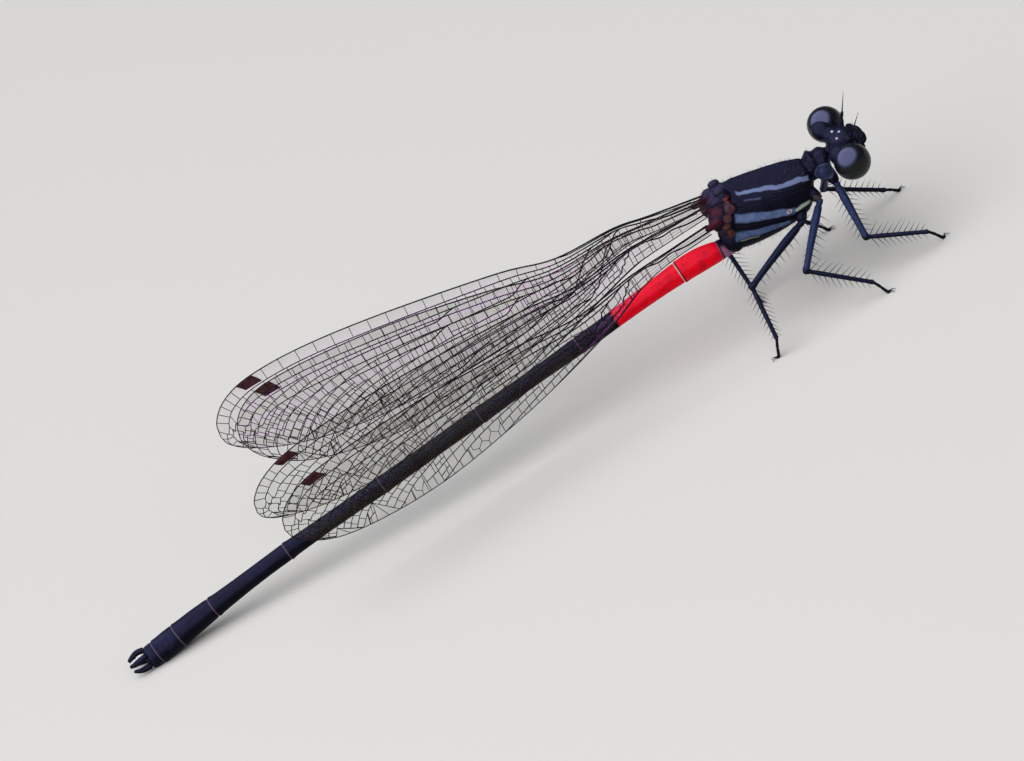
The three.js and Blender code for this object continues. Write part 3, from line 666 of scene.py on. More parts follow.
def wing_root_layers(tree, place, dusty):
    """Layers that colour the plates round the wing roots, one for each tone."""
    layers = []
    for tone, (light, dark) in ROOT_TONES.items():
        spots = [
            spot(tree, place, (at[0], at[2]), (radii[0] * 1.15, radii[2] * 1.15))[0]
            for at, radii, kind in WING_ROOTS if kind == tone
        ]
        layers.append((any_of(tree, spots), painted(tree, light, [(dusty, dark)])))
    return layers


def thorax_chitin():
    # Thorax: black chitin with dusty pale-blue stripes, sunken seams between its side plates
    material, tree, shader = new_finish(
        "striped thorax chitin", Roughness=0.42, Specular_IOR_Level=0.03, Sheen_Weight=0.05, **HAZE,
    )
    place = insect_mm(tree)
    wobble = add(tree, "ShaderNodeTexNoise", {"Vector": place, "Scale": 1.6, "Detail": 2.0}).outputs["Color"]
    centred = add(tree, "ShaderNodeVectorMath", {0: wobble, 1: (0.5,) * 3}, operation="SUBTRACT")
    loose = add(tree, "ShaderNodeVectorMath", {
        0: centred, 1: (STRIPE_WOBBLE,) * 3, 2: place,
    }, operation="MULTIPLY_ADD")
    masks = {
        name: any_of(tree, [band(tree, loose, *part[:3], 0.5, part[3]) for part in parts])
        for name, parts in STRIPES.items()
    }
    seams = any_of(tree, [band(tree, loose, *seam, 0.9) for seam in SUTURES])
    bloom = cloudy(tree, place, 0.6, 0.4, 0.8)
    dusty = cloudy(tree, place, 0.3, 0.35, 0.75)
    pale_end = band(tree, loose, *PALE_STRIPE_END, 0.7)
    rim = band(tree, loose, *PALE_LOWER_RIM, 0.8)
    spiracle, spiracle_left = spot(tree, place, *SPIRACLE)
    slit = add(tree, "ShaderNodeMapRange", {0: spiracle_left, 1: 0.5, 2: 0.75})
    front_patch = band(tree, loose, *FRONT_PATCH, 0.8)
    collar, collar_left = spot(tree, loose, *COLLAR, 0.2)
    colour = painted(tree, "#06050c", [
        (bloom, "#0e0d1a"),
        (masks["rear_line"], "#3c3f52"),
        (masks["shoulder"], "#667396"),
        (masks["flank"], painted(tree, "#495980", [(dusty, "#63749b")])),
        (masks["hip"], painted(tree, "#435278", [(dusty, "#596a92")])),
        (pale_end, "#a9b8a6"),
        (rim, "#7c8070"),
        (front_patch, "#3f322e"),
        (collar, "#262e48"),
        (within(tree, collar_left, 0.08, 0.18, 0.05), "#434c69"),
        (spiracle, "#c9b8bb"),
        (slit, "#2c1618"),
        *wing_root_layers(tree, loose, dusty),
        (seams, "#050507"),
    ])
    tree.links.new(colour, shader.inputs["Base Color"])
    bump = grained(tree, shader, place, 0.06, 0.4)
    depth = add(tree, "ShaderNodeMath", {0: 1.0, 1: seams}, operation="SUBTRACT")
    sunk = add(tree, "ShaderNodeBump", {
        "Height": depth, "Strength": 0.8, "Distance": 0.03 * MM, "Normal": bump.outputs["Normal"],
    })
    tree.links.new(sunk.outputs["Normal"], shader.inputs["Normal"])
    return material


def eye_lens():
    # Compound eye: thousands of lenses too fine to show, drawn larger; wet gloss with a lilac bloom
    material, tree, shader = new_finish(
        "compound eye lenses", Roughness=0.27, IOR=1.37, Specular_IOR_Level=0.34,
        Sheen_Weight=0.04, Sheen_Roughness=0.3, Sheen_Tint="#9a96e6",
    )
    place = insect_mm(tree)
    height = add(tree, "ShaderNodeSeparateXYZ", {0: place}).outputs["Z"]
    start, full = EYE_GREEN_BELOW
    low_rim = add(tree, "ShaderNodeMapRange", {0: height, 1: start, 2: full}, **SOFT)
    tree.links.new(painted(tree, "#050408", [(low_rim, "#12211d")]), shader.inputs["Base Color"])
    facets = add(tree, "ShaderNodeTexVoronoi", {"Vector": place, "Scale": 1 / EYE_LENS_SIZE})
    bump = add(tree, "ShaderNodeBump", {
        "Height": facets.outputs["Distance"], "Strength": 0.25, "Distance": 0.004 * MM,
    }, invert=True)
    tree.links.new(bump.outputs["Normal"], shader.inputs["Normal"])
    return material


def ocellus_lens():
    # Ocellus: one clear bead over a pale base, which shows as a small bright spot
    return toned("ocellus lens", "#4a4550", "#857c80", 0.1, 0.3, 0.7,
                 Roughness=0.12, IOR=1.5, Coat_Weight=0.3, Coat_Roughness=0.05)[0]


def wing_film():
    # Wing membrane: dry clear chitin film a few microns thick, faintly smoky, with colours in its gloss
    material, tree, shader, place = toned(
        "clear wing film", "#403f3b", "#2e2d2a", 2.5, 0.35, 0.75,
        Roughness=0.22, IOR=1.4, Specular_IOR_Level=0.12, Alpha=0.1,
        Thin_Film_Thickness=380.0, Thin_Film_IOR=1.35,
    )
    grained(tree, shader, place, 1 / 1.6, 0.3, 0.03, 2.0)
    return material


def vein_chitin():
    # Wing veins: hollow dark-brown rods, nearly black, with a satin highlight
    return toned("dark vein chitin", "#080708", "#16110e", 1.2, 0.35, 0.75,
                 Roughness=0.4, IOR=1.5, Specular_IOR_Level=0.03)[0]


def stigma_chitin():
    # Pterostigma: thick brown cell of the wing, darker in patches
    material, tree, shader, place = toned("pterostigma chitin", "#2a1314", "#432222", 0.3, 0.35, 0.7,
                                          Roughness=0.45, IOR=1.5, Specular_IOR_Level=0.03)
    grained(tree, shader, place, 0.08, 0.4)
    return material


def pale_hair():
    # Fine hairs: colourless chitin threads that catch the light as a grey-white fringe
    return toned("colourless hair", "#4d5058", "#33343b", 0.3, 0.35, 0.7,
                 Roughness=0.45, IOR=1.5, Specular_IOR_Level=0.2)[0]


# Geometry trees
def new_tree(name, inputs):
    tree = bpy.data.node_groups.new(name, "GeometryNodeTree")
    tree.interface.new_socket("Geometry", in_out="INPUT", socket_type="NodeSocketGeometry")
    for label, kind in inputs.items():
        tree.interface.new_socket(label, in_out="INPUT", socket_type=kind)
    tree.interface.new_socket("Geometry", in_out="OUTPUT", socket_type="NodeSocketGeometry")
    return tree, tree.nodes.new("NodeGroupInput").outputs


def close_tree(tree, geometry, material):
    """Makes the pieces of a geometry tree real and gives them their finish."""
    real = add(tree, "GeometryNodeRealizeInstances", {"Geometry": geometry})
    dressed = add(tree, "GeometryNodeSetMaterial", {"Geometry": real, "Material": material})
    add(tree, "NodeGroupOutput", {0: dressed})


def vein_tree():
    """Round rods along the edges of a net, as thick as its points say."""
    tree, given = new_tree("vein rods", {"Sides": "NodeSocketInt", "Finish": "NodeSocketMaterial"})
    paths = add(tree, "GeometryNodeMeshToCurve", {"Mesh": given["Geometry"]})
    ring = add(tree, "GeometryNodeCurvePrimitiveCircle", {"Resolution": given["Sides"], "Radius": 1.0})
    thick = add(tree, "GeometryNodeInputNamedAttribute", {"Name": "thick"}, data_type="FLOAT")
    rods = add(tree, "GeometryNodeCurveToMesh", {
        "Curve": paths, "Profile Curve": ring, "Scale": thick, "Fill Caps": True,
    })
    close_tree(tree, rods, given["Finish"])
    return tree


def bristle_tree():
    """A tapered bristle on every point, along its aim and as long as that is."""
    tree, given = new_tree("bristles", {
        "Sides": "NodeSocketInt", "Radius": "NodeSocketFloat", "Finish": "NodeSocketMaterial",
    })
    cone = add(tree, "GeometryNodeMeshCone", {
        "Vertices": given["Sides"], "Side Segments": 2,
        "Radius Top": 0.12, "Radius Bottom": 1.0, "Depth": 1.0,
    })
    aim = add(tree, "GeometryNodeInputNamedAttribute", {"Name": "aim"}, data_type="FLOAT_VECTOR")
    length = add(tree, "ShaderNodeVectorMath", {0: aim}, operation="LENGTH").outputs["Value"]
    size = add(tree, "ShaderNodeCombineXYZ", {0: given["Radius"], 1: given["Radius"], 2: length})
    turn = add(tree, "FunctionNodeAlignRotationToVector", {"Vector": aim}, axis="Z")
    copies = add(tree, "GeometryNodeInstanceOnPoints", {
        "Points": given["Geometry"], "Instance": cone, "Rotation": turn, "Scale": size,
    })
    close_tree(tree, copies, given["Finish"])
    return tree


def grown(thing, tree, values):
    """Runs a geometry tree on an object and keeps the result as its plain mesh."""
    modifier = thing.modifiers.new(tree.name, "NODES")
    modifier.node_group = tree
    for item in tree.interface.items_tree:
        if item.in_out == "INPUT" and item.name in values:
            modifier[item.identifier] = values[item.name]
    applied(thing)
    facing_out(thing)
    return thing


def bristles(name, roots, aims, material, radius, sides=5, unwrap=None):
    """Tapered bristles from their roots along their aims, in millimetres."""
    thing = plain_object(name, to_frame(roots), [])
    give(thing, "aim", np.asarray(aims, np.float32) * MM, "FLOAT_VECTOR")
    grown(thing, BRISTLE_TREE, {"Sides": sides, "Radius": radius * MM, "Finish": material})
    if unwrap is not None:
        bake_map(thing, len(roots), unwrap)
    return finish_piece(thing)


def bake_map(thing, count, unwrap, patch=0.003):
    """A map where each hair is a small patch at its root's place on the unwrapped skin."""
    mesh = thing.data
    layer = mesh.uv_layers.new(name="OFBake")
    corners = np.zeros(len(mesh.loops), int)
    mesh.loops.foreach_get("vertex_index", corners)
    per_hair = len(mesh.vertices) // count
    hair = corners // per_hair
    turn = 2 * math.pi * (corners % per_hair) / per_hair
    around = np.column_stack([np.cos(turn), np.sin(turn)]) * patch / 2
    layer.data.foreach_set("uv", (np.asarray(unwrap)[hair] + around).astype(np.float32).ravel())


# Tail
def tail_piece(material):
    """The skin over the ten tail segments, with a step at each joint."""
    joints = np.array(TAIL_JOINTS)
    line = smooth_line(np.column_stack([joints[:, 0], np.zeros(len(joints)), joints[:, 1]]), 900)
    line[:, 2] = np.maximum(line[:, 2], TAIL_LEAST_HEIGHT)
    run = run_along(line)
    marks = np.interp(-joints[:, 0], -line[:, 0], run)
    rows = int(run[-1] * TAIL_ROWS_PER_MM)
    spots = np.linspace(-TAIL_INSIDE_THORAX, run[-1], rows)
    centres = at_runs(line, run, spots)
    centres[spots < 0, 0] -= spots[spots < 0]
    segment = np.clip(np.searchsorted(marks, spots, side="right") - 1, 0, len(marks) - 2)
    length = marks[segment + 1] - marks[segment]
    share = np.clip((spots - marks[segment]) / length, 0, 1)
    radius = joints[segment, 2] * (1 - share) + joints[segment + 1, 2] * share
    radius *= 1 + (np.array(TAIL_WAIST)[segment] - 1) * np.sin(math.pi * share) ** 0.8
    # Each segment ends in a small step out, and the next one starts in a step in
    radius += JOINT_STEP["height"] * hump((1 - share) * length, 0, JOINT_STEP["before"]) * (segment > 0)
    radius -= JOINT_STEP["height"] * hump(share * length, 0, JOINT_STEP["after"]) * (segment > 0)
    closing = np.clip((run[-1] - spots) / TAIL_END_ROUND, 0, 1)
    radius *= np.sqrt(np.clip(1 - (1 - closing) ** 2, 0.02, 1))
    turn = np.linspace(0, 2 * math.pi, TAIL_SIDES, endpoint=False)
    across = np.array([0, 1.0, 0])
    above = unit(np.cross(unit(np.gradient(centres, axis=0)), across)) * -1
    above *= np.sign(above[:, 2:3])
    # The plates meet under the tail in a soft groove between two edges
    groove = 1 - 0.2 * hump(turn, 1.5 * math.pi, 0.22)
    edges = 1 + 0.035 * (hump(turn, 1.29 * math.pi, 0.12) + hump(turn, 1.71 * math.pi, 0.12))
    keel = 1 + 0.02 * hump(turn, 0.5 * math.pi, 0.12)
    form = groove * edges * keel
    rings = (
        centres[:, None]
        + (radius[:, None] * (np.cos(turn) * form))[..., None] * across
        + (radius[:, None] * (np.sin(turn) * form))[..., None] * above[:, None]
    )
    rings[..., 2] = np.maximum(rings[..., 2], 0)
    next_joint = marks[np.argmin(abs(spots[:, None] - marks[None, 1:-1]), axis=1) + 1]
    values = {
        "along": np.append(np.repeat(spots, TAIL_SIDES), [spots[0], spots[-1]]),
        "joint": np.append(np.repeat(spots - next_joint, TAIL_SIDES), [-1, 1]),
        "over": np.append(np.tile(np.sin(turn)[::-1], rows), [0, 0]),
    }
    nodes = [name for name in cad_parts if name.startswith("abdomen_")]
    piece("tail_skin", rings_to_shape(rings[:, ::-1]), material, nodes, values)


def clasper_pieces(material):
    root = TAIL_JOINTS[-1][0] + 0.08
    for side, word in SIDES:
        for name, clasper in CLASPERS.items():
            back, out, up, radii = smooth_line(clasper["way"], 24).T
            line = np.column_stack([root - back, side * (clasper["out"] + out), clasper["height"] + up])
            line[:, 2] = np.maximum(line[:, 2], radii + 0.01)
            shapes = [tube(line, radii, 16)]
            if name == "cercus":
                tooth = line[12]
                shapes.append(limb(tooth, tooth - (0.04, side * 0.2, 0.1), [(0, 0.07), (1, 0.015)], 6, 10))
            piece(f"{name}_piece_{word}", joined(shapes), material, [f"{name}_{word}"])


# Thorax and prothorax
def hips(name):
    """Root of the coxa and hip of a leg."""
    pair, word = name.split("_")
    return [(x, y if word == "left" else -y, z) for x, y, z in HIPS[pair]]


def lofted(sections, profile):
    """A closed loft of mirrored section curves."""
    out, up = smooth_line(profile, 22).T
    rings = []
    for x, top, bottom, half in smooth_line(sections, 48):
        height = (top + bottom) / 2 + (top - bottom) / 2 * up
        right = np.column_stack([np.full(len(out), x), -half * out, height])
        left = (right * (1, -1, 1))[::-1][1:-1]
        rings.append(np.vstack([right, left]))
    return rings_to_shape(np.array(rings))


def thorax_piece(material):
    """One skin over the thorax, the prothorax and the roots of the legs and wings."""
    round_side = [(math.sin(angle), math.cos(angle)) for angle in np.linspace(0, math.pi, 9)]
    neck = [(x, z + up, z - up, across) for x, z, across, up in PROTHORAX_SECTIONS]
    shapes = [lofted(THORAX_SECTIONS, THORAX_SIDE), lofted(neck, round_side)]
    for at, radii in HINGE_LUMPS:
        shapes.append(ball(at, radii))
        if at[1]:
            shapes.append(mirrored(ball(at, radii)))
    for at, radii, _ in WING_ROOTS:
        shapes += [ball(at, radii), mirrored(ball(at, radii))]
    coxa = [(0, COXA_RADIUS), (0.7, COXA_RADIUS * 0.95), (1, COXA_RADIUS * 0.66)]
    for name in LEGS:
        root, hip = hips(name)
        shapes.append(limb(root, hip, coxa, 12, 16))
    points, faces = fused(shapes, THORAX_CELL, 7)
    ridge = hump(points[:, 1], 0, CARINA["width"]) * (points[:, 2] > CARINA["above"])
    ridge *= smoothstep(points[:, 0], CARINA["from"], CARINA["from"] + 0.5) * (points[:, 0] < CARINA["to"])
    points[:, 2] += ridge * CARINA["height"]
    piece("thorax_skin", (points, faces), material, ["prothorax", "thorax"])
    return points


def hair_piece(thorax_points, material):
    """Fine hairs on the back and the underside of the thorax and on the prothorax."""
    middle = np.array([3.2, 0, 5.1])
    chosen = thorax_points[RANDOM.choice(len(thorax_points), THORAX_HAIR["count"], replace=False)]
    roots = chosen[(chosen[:, 2] > 5.4) | (chosen[:, 2] < 4.0) | (chosen[:, 0] > 5.2)]
    out = unit((roots - middle) * (0.25, 1, 1))
    aims = unit(out + (0.25, 0, 0.1) + RANDOM.normal(0, 0.22, roots.shape))
    aims *= RANDOM.uniform(*THORAX_HAIR["length"], (len(roots), 1))
    turn = np.arctan2(roots[:, 1], roots[:, 2] - middle[2]) / (2 * math.pi) + 0.5
    unwrap = np.column_stack([(roots[:, 0] + 1) / 9, turn])
    bristles("thorax_hair", roots - aims * 0.1, aims, material, THORAX_HAIR["radius"],
             sides=3, unwrap=unwrap)


# Head
def head_matrix():
    roll, pitch, yaw = (math.radians(HEAD_TURN[name]) for name in ("roll", "pitch", "yaw"))
    return np.array(
        Matrix.Rotation(yaw, 3, "Z") @ Matrix.Rotation(pitch, 3, "Y") @ Matrix.Rotation(roll, 3, "X")
    )


HEAD_MATRIX = head_matrix()


def on_head(shape):
    """A shape of the head, turned and put in its place."""
    points, faces = shape
    return np.asarray(points) @ HEAD_MATRIX.T + HEAD_CENTRE, faces


def head_pieces(black, lens, bead):
    lobes = [ball(at, radii) for at, radii in HEAD_LOBES + FACE_PLATES]
    for side, _ in SIDES:
        lobes.append(ball(FEELER_ROOT * (1, side, 1) - (0.06, 0, 0.06), (0.16, 0.16, 0.14)))
    piece("head_skin", on_head(fused(lobes, HEAD_CELL, 6)), black, ["head"])
    along, thick = np.array(FEELER_STEPS).T
    for side, word in SIDES:
        globe = ball((EYE_OUT[0], side * EYE_OUT[1], EYE_OUT[2]), EYE_RADII, 72, 48)
        piece(f"eye_globe_{word}", on_head(globe), lens, [f"eye_{word}"])
        way = unit(FEELER_DIRECTION * (1, side, 1))
        line = FEELER_ROOT * (1, side, 1) + along[:, None] * way + (along[:, None] / 2) ** 2 * FEELER_CURL
        fine = smooth_line(np.column_stack([line, thick]), 60)
        shape = tube(fine[:, :3], fine[:, 3], 10)
        piece(f"feeler_{word}", on_head(shape), black, [f"antenna_{word}"])
    count = FACE_HAIR["count"]
    roots = np.column_stack([
        RANDOM.uniform(low, high, count) for low, high in ((0.66, 0.95), (-0.42, 0.42), (0.02, 0.2))
    ])
    aims = unit((0.45, 0, 0.85) + RANDOM.normal(0, 0.25, (count, 3)))
    aims = aims * RANDOM.uniform(*FACE_HAIR["length"], (count, 1)) @ HEAD_MATRIX.T
    unwrap = roots[:, 1:] / 3 + 0.5
    bristles("face_hair", on_head((roots, []))[0], aims, black, FACE_HAIR["radius"], unwrap=unwrap)
    beads = [ball(at, (OCELLUS_RADIUS,) * 3, 20, 12) for at in OCELLI]
    piece("ocelli", on_head(joined(beads)), bead)


# Legs
def heel_of(ankle, toe):
    """Where the foot comes down to the floor, behind the claws."""
    tip = np.array([toe[0], toe[1], SOLE])
    back = np.array([ankle[0], ankle[1], SOLE]) - tip
    far = np.linalg.norm(back)
    return tip + back / far * min(SOLE_LENGTH, 0.4 * far), tip


def rows_on(start, end, radius_shape, rule):
    """Roots and aims of two rows of bristles along a limb, with the rule's lengths and turns downwards."""
    start, end = np.array(start), np.array(end)
    run = unit(end - start)
    across = unit(np.cross(run, (0, 0, 1)))
    below = np.cross(run, across)
    below = below * (-1 if below[2] > 0 else 1)
    roots, aims = [], []
    shape = np.array(radius_shape)
    for row in (1, -1):
        for k in range(rule["count"]):
            share = rule["from"] + (rule["to"] - rule["from"]) * (k + 0.25 * (row > 0)) / rule["count"]
            out = unit(across * row + below * rule["drop"][row > 0])
            radius = np.interp(share, shape[:, 0], shape[:, 1])
            length = rule["length"][row > 0] * (1 - rule["shrink"] * share ** 2) * RANDOM.uniform(0.9, 1.08)
            roots.append(start + (end - start) * share + out * radius * 0.6)
            aims.append(unit(out + run * rule["lean"] + RANDOM.normal(0, 0.04, 3)) * length)
    return roots, aims


def claws(heel, tip):
    """Two small hooked claws at the end of a foot."""
    run = unit(tip - heel)
    across = unit(np.cross(run, (0, 0, 1)))
    shapes = []
    for side in (1, -1):
        way = [tip - run * 0.04, tip + run * 0.1 + across * side * 0.06 + (0, 0, 0.03)]
        for reach, spread, lift in ((0.8, 1, -0.01), (0.9, 1.1, -SOLE + 0.015)):
            point = tip + run * CLAW["length"] * reach + across * side * CLAW["spread"] * spread
            way.append(point + (0, 0, lift))
        line = smooth_line(way, 12)
        line[:, 2] = np.maximum(line[:, 2], 0.012)
        shapes.append(tube(line, np.linspace(CLAW["radius"], 0.008, 12), 8))
    return shapes


def leg_pieces(black):
    foot_share, foot_radius = np.array(TARSUS_SHAPE).T
    for name, (knee, ankle, toe) in LEGS.items():
        hip = hips(name)[1]
        heel, tip = heel_of(ankle, toe)
        foot = smooth_line([ankle, np.add(ankle, heel) / 2 + (0, 0, 0.03), heel, tip], 40)
        shapes = [
            limb(hip, knee, FEMUR_SHAPE, 60, 16, bow=0.05),
            limb(knee, ankle, TIBIA_SHAPE, 60, 14),
            ball(knee, (KNEE_RADIUS,) * 3, 18, 12),
            tube(foot, np.interp(np.linspace(0, 1, 40), foot_share, foot_radius), 12),
            *claws(heel, tip),
        ]
        whole = joined(shapes)
        femur, tibia = len(shapes[0][0]), len(shapes[1][0])
        wax = np.zeros(len(whole[0]))
        wax[:femur] = WAX["hind_femur"] if name.startswith("hind") else WAX["femur"]
        wax[femur:femur + tibia] = WAX["tibia"]
        nodes = [f"{part}_{name}" for part in ("femur", "tibia", "tarsus")]
        piece(f"leg_{name}", whole, black, nodes, {"wax": wax})
        roots, aims = rows_on(knee, ankle, TIBIA_SHAPE, TIBIA_BRISTLES)
        more_roots, more_aims = rows_on(hip, knee, FEMUR_SHAPE, FEMUR_BRISTLES)
        roots, aims = np.array(roots + more_roots), np.array(aims + more_aims)
        aims[:, 2] = np.maximum(aims[:, 2], BRISTLE_CLEARANCE - roots[:, 2])
        bristles(f"leg_bristles_{name}", roots, aims, black, BRISTLE_RADIUS)


# Wings
def wing_backs(length, even, fine, closest):
    """Distances back along a wing: evenly spaced ones, then ever closer ones up to its tip."""
    return np.concatenate([np.linspace(0, length - 1, even), length - np.geomspace(0.95, closest, fine)])


def edge_line(points):
    """Height of a wing edge at any distance back."""
    line = smooth_line(points, 400)
    return lambda back: np.interp(back, line[:, 0], line[:, 1])


def vein_depths(length):
    """Depth share of each main vein as a function of the distance back."""
    def own(name):
        depth, end, bend, start, parent = VEINS[name]

        def at(back):
            back = np.asarray(back, float)
            value = depth + (1 - depth) * np.clip(back / (end * length), 0, 1) ** bend
            if name == "radius":
                past_root = smoothstep(back, ROOT_DROP["from"], ROOT_DROP["to"])
                value = value + ROOT_DROP["depth"] * (1 - past_root)
            ease = smoothstep(back, start, start + BRANCH_EASE)
            if parent:
                value = own(parent)(back) * (1 - ease) + value * ease
            elif name == "cubitus":
                value = 1 + (value - 1) * ease
            return value

        return at

    return {name: own(name) for name in VEINS}


def wing_shape(wing, side):
    """Functions that give the height and the place of a spot at a distance back and a depth share."""
    upper, lower = edge_line(wing["upper"]), edge_line(wing["lower"])
    length = wing["upper"][-1][0]
    normal = unit([wing["spread"], side, -WING_LEAN])

    def height_at(back, depth):
        return upper(back) + (lower(back) - upper(back)) * depth

    def place(back, depth, lift=0.0):
        back, depth = np.broadcast_arrays(np.asarray(back, float), np.asarray(depth, float))
        height = height_at(back, depth)
        flat = np.stack([
            wing["hinge"][0] - back,
            side * (wing["hinge"][1] + wing["spread"] * back + WING_LEAN * height),
            wing["hinge"][2] + height,
        ], axis=-1)
        fold = PLEAT["height"] * (1 - 0.65 * back / length) * np.sin(2 * math.pi * PLEAT["folds"] * depth)
        return flat + (fold + lift)[..., None] * normal

    return place, height_at, length


def flat_line(backs, depth, height_at):
    """Points of a vein on the flat wing, as distance back and height."""
    backs = np.asarray(backs, float)
    return np.column_stack([backs, height_at(backs, depth)])


def nearest(points, line):
    """For each point, the nearest one of a finely divided line."""
    fine = evenly(line, FINE_STEP)
    apart = np.linalg.norm(points[:, None] - fine[None], axis=2)
    return fine[np.argmin(apart, axis=1)]


def runs_of(flags):
    """First and last index of each stretch of flags that are set."""
    edges = np.flatnonzero(np.diff(np.concatenate([[0], flags.astype(int), [0]])))
    return [(first, last - 1) for first, last in zip(edges[::2], edges[1::2])]


def bridge(points, others, k, kind="cross"):
    """A straight vein between the two points of a pair."""
    return np.array([points[k], others[k]]), VEIN_RADIUS[kind]


def mesh_strip(points, others, rng, marginal, found, level=0):
    """Fills the strip between two rows of paired points with cells, in more rows where it is wide."""
    gaps = np.linalg.norm(points - others, axis=1)
    taken = np.zeros(len(points), bool)
    for first, last in runs_of(gaps > TALL_CELL):
        if last - first < 8 or level > 2:
            continue
        taken[first:last + 1] = True
        front, rear = points[first:last + 1], others[first:last + 1]
        middle = (front + rear) / 2
        if marginal and gaps[first:last + 1].max() < 2 * TALL_CELL:
            knots = np.arange(0, len(middle), ZIGZAG["step"])
            swing = np.where(np.arange(len(knots)) % 2 == 0, -1, 1) * ZIGZAG["swing"]
            swing = swing + rng.uniform(-0.03, 0.03, len(knots))
            corners = middle[knots] + (rear - front)[knots] * swing[:, None]
            for k, corner in enumerate(corners):
                foot = (rear if k % 2 else front)[knots[k]]
                found.append((np.array([corner, foot]), VEIN_RADIUS["cross"]))
            found.append((corners, VEIN_RADIUS["cross"]))
        else:
            found.append((middle, VEIN_RADIUS["rear"]))
            mesh_strip(front, middle, rng, False, found, level + 1)
            mesh_strip(middle, rear, rng, marginal, found, level + 1)
        for end in (first, last):
            found.append(bridge(points, others, end))
    travelled = run_along(points)
    due = rng.uniform(0.25, 0.6) * CROSS_PITCH["most"]
    for k in range(len(points)):
        if travelled[k] < due or taken[k]:
            continue
        pitch = np.clip(CROSS_PITCH["per_height"] * gaps[k], CROSS_PITCH["least"], CROSS_PITCH["most"])
        due = travelled[k] + pitch * rng.uniform(0.9, 1.1)
        if gaps[k] > LEAST_CELL:
            found.append(bridge(points, others, k))


def costal_veins(wing, margin, radius, length, found):
    """Cross-veins between the front edge and the first long vein, round to the wing's tip."""
    nodus = wing["nodus"]
    points = evenly(margin, FINE_STEP)
    tip = int(np.argmax(points[:, 0]))
    others = nearest(points, radius)
    travelled = np.arange(len(points)) * FINE_STEP
    due = travelled[np.argmax(points[:, 0] > nodus)]
    for k in range(len(points)):
        back = points[k, 0]
        if travelled[k] < due or np.linalg.norm(points[k] - others[k]) < LEAST_CELL:
            continue
        past_stigma = k > tip or back > STIGMA["to"] * length
        in_stigma = k < tip and STIGMA["from"] * length - 0.2 < back < STIGMA["to"] * length + 0.15
        due = travelled[k] + (CROSS_PITCH["tip"] if past_stigma else CROSS_PITCH["costal"])
        if not in_stigma:
            found.append(bridge(points, others, k))
    for back in (nodus * 0.42, nodus * 0.66, nodus):
        k = int(np.argmin(abs(points[:tip, 0] - back)))
        found.append(bridge(points, others, k, "main"))


def standing_veins(back, depths, length):
    """Names of the veins that stand at a distance back, from the first long vein to the hind edge."""
    standing = [
        name for name, (_, end, _, start, _) in VEINS.items() if start + 0.2 < back < end * length - 0.02
    ]
    standing.sort(key=lambda name: float(depths[name](back)))
    return standing + ["hind"]


def round_tip(margin, start, before, past):
    """A vein that runs on beside the front edge, round the tip, and closes in on the hind edge."""
    fine = evenly(margin, TIP_STEP)
    run = np.arange(len(fine)) * TIP_STEP
    tip = run[int(np.argmax(fine[:, 0]))]
    first = int(np.argmin(np.linalg.norm(fine - start, axis=1)[:int(tip / TIP_STEP)]))
    tangents = unit(np.gradient(fine, axis=0))
    inward = np.column_stack([tangents[:, 1], -tangents[:, 0]])
    offset = np.linalg.norm(fine[first] - start)
    close = 1 - smoothstep(run, tip - before, tip + past)
    chosen = slice(first + 4, int((tip + past) / TIP_STEP) + 1)
    return fine[chosen] + inward[chosen] * (offset * close[chosen])[:, None]


def stretch(line, low, high):
    """The part of a line between two distances back."""
    return line[(line[:, 0] >= low) & (line[:, 0] <= high)]


def strips_of(lines, depths, length):
    """The strips between neighbouring veins, as paired points and whether they reach the hind edge.

    Where a vein meets the hind edge at a wide corner, the corner is halved by a short vein of its own.
    """
    spans = {}
    for back in np.arange(1.6, ROUND_FROM, 0.05):
        names = standing_veins(back, depths, length)
        for pair in zip(names, names[1:]):
            spans.setdefault(pair, []).append(back)
    strips, corner_veins = [], []
    for (ahead, behind), spots in spans.items():
        spots = np.array(spots)
        for first, last in runs_of(np.append(np.diff(spots) < 0.075, True)):
            front = stretch(lines[ahead], spots[first] - 0.03, spots[last] + 0.03)
            if len(front) < 3:
                continue
            points = evenly(front, PAIR_SPACING)
            rear = stretch(lines[behind], 0, ROUND_FROM + 0.3)
            others = np.column_stack([points[:, 0], np.interp(points[:, 0], rear[:, 0], rear[:, 1])])
            strips.append((points, others, behind == "hind"))
    names = standing_veins(ROUND_FROM, depths, length)
    for ahead, behind in zip(names, names[1:]):
        front = lines[ahead][int(np.argmax(lines[ahead][:, 0] > ROUND_FROM)):]
        if len(front) < 3:
            continue
        points = evenly(front, PAIR_SPACING)
        on_hind = nearest(points, lines["hind"])
        if behind == "hind":
            strips.append((points, on_hind, True))
            continue
        others = nearest(points, lines[behind])
        end = lines[behind][-1]
        past_end = np.linalg.norm(others - end, axis=1) < 0.02
        split = int(np.argmax(past_end)) if past_end.any() else len(points) - 1
        strips.append((points[:split + 1], others[:split + 1], False))
        strips.append((points[split:], on_hind[split:], False))
        if np.linalg.norm(end - on_hind[split]) > WIDE_CORNER:
            corner_veins.append(np.array([points[split], (end + on_hind[split]) / 2]))
    return [strip for strip in strips if len(strip[0]) > 2], corner_veins


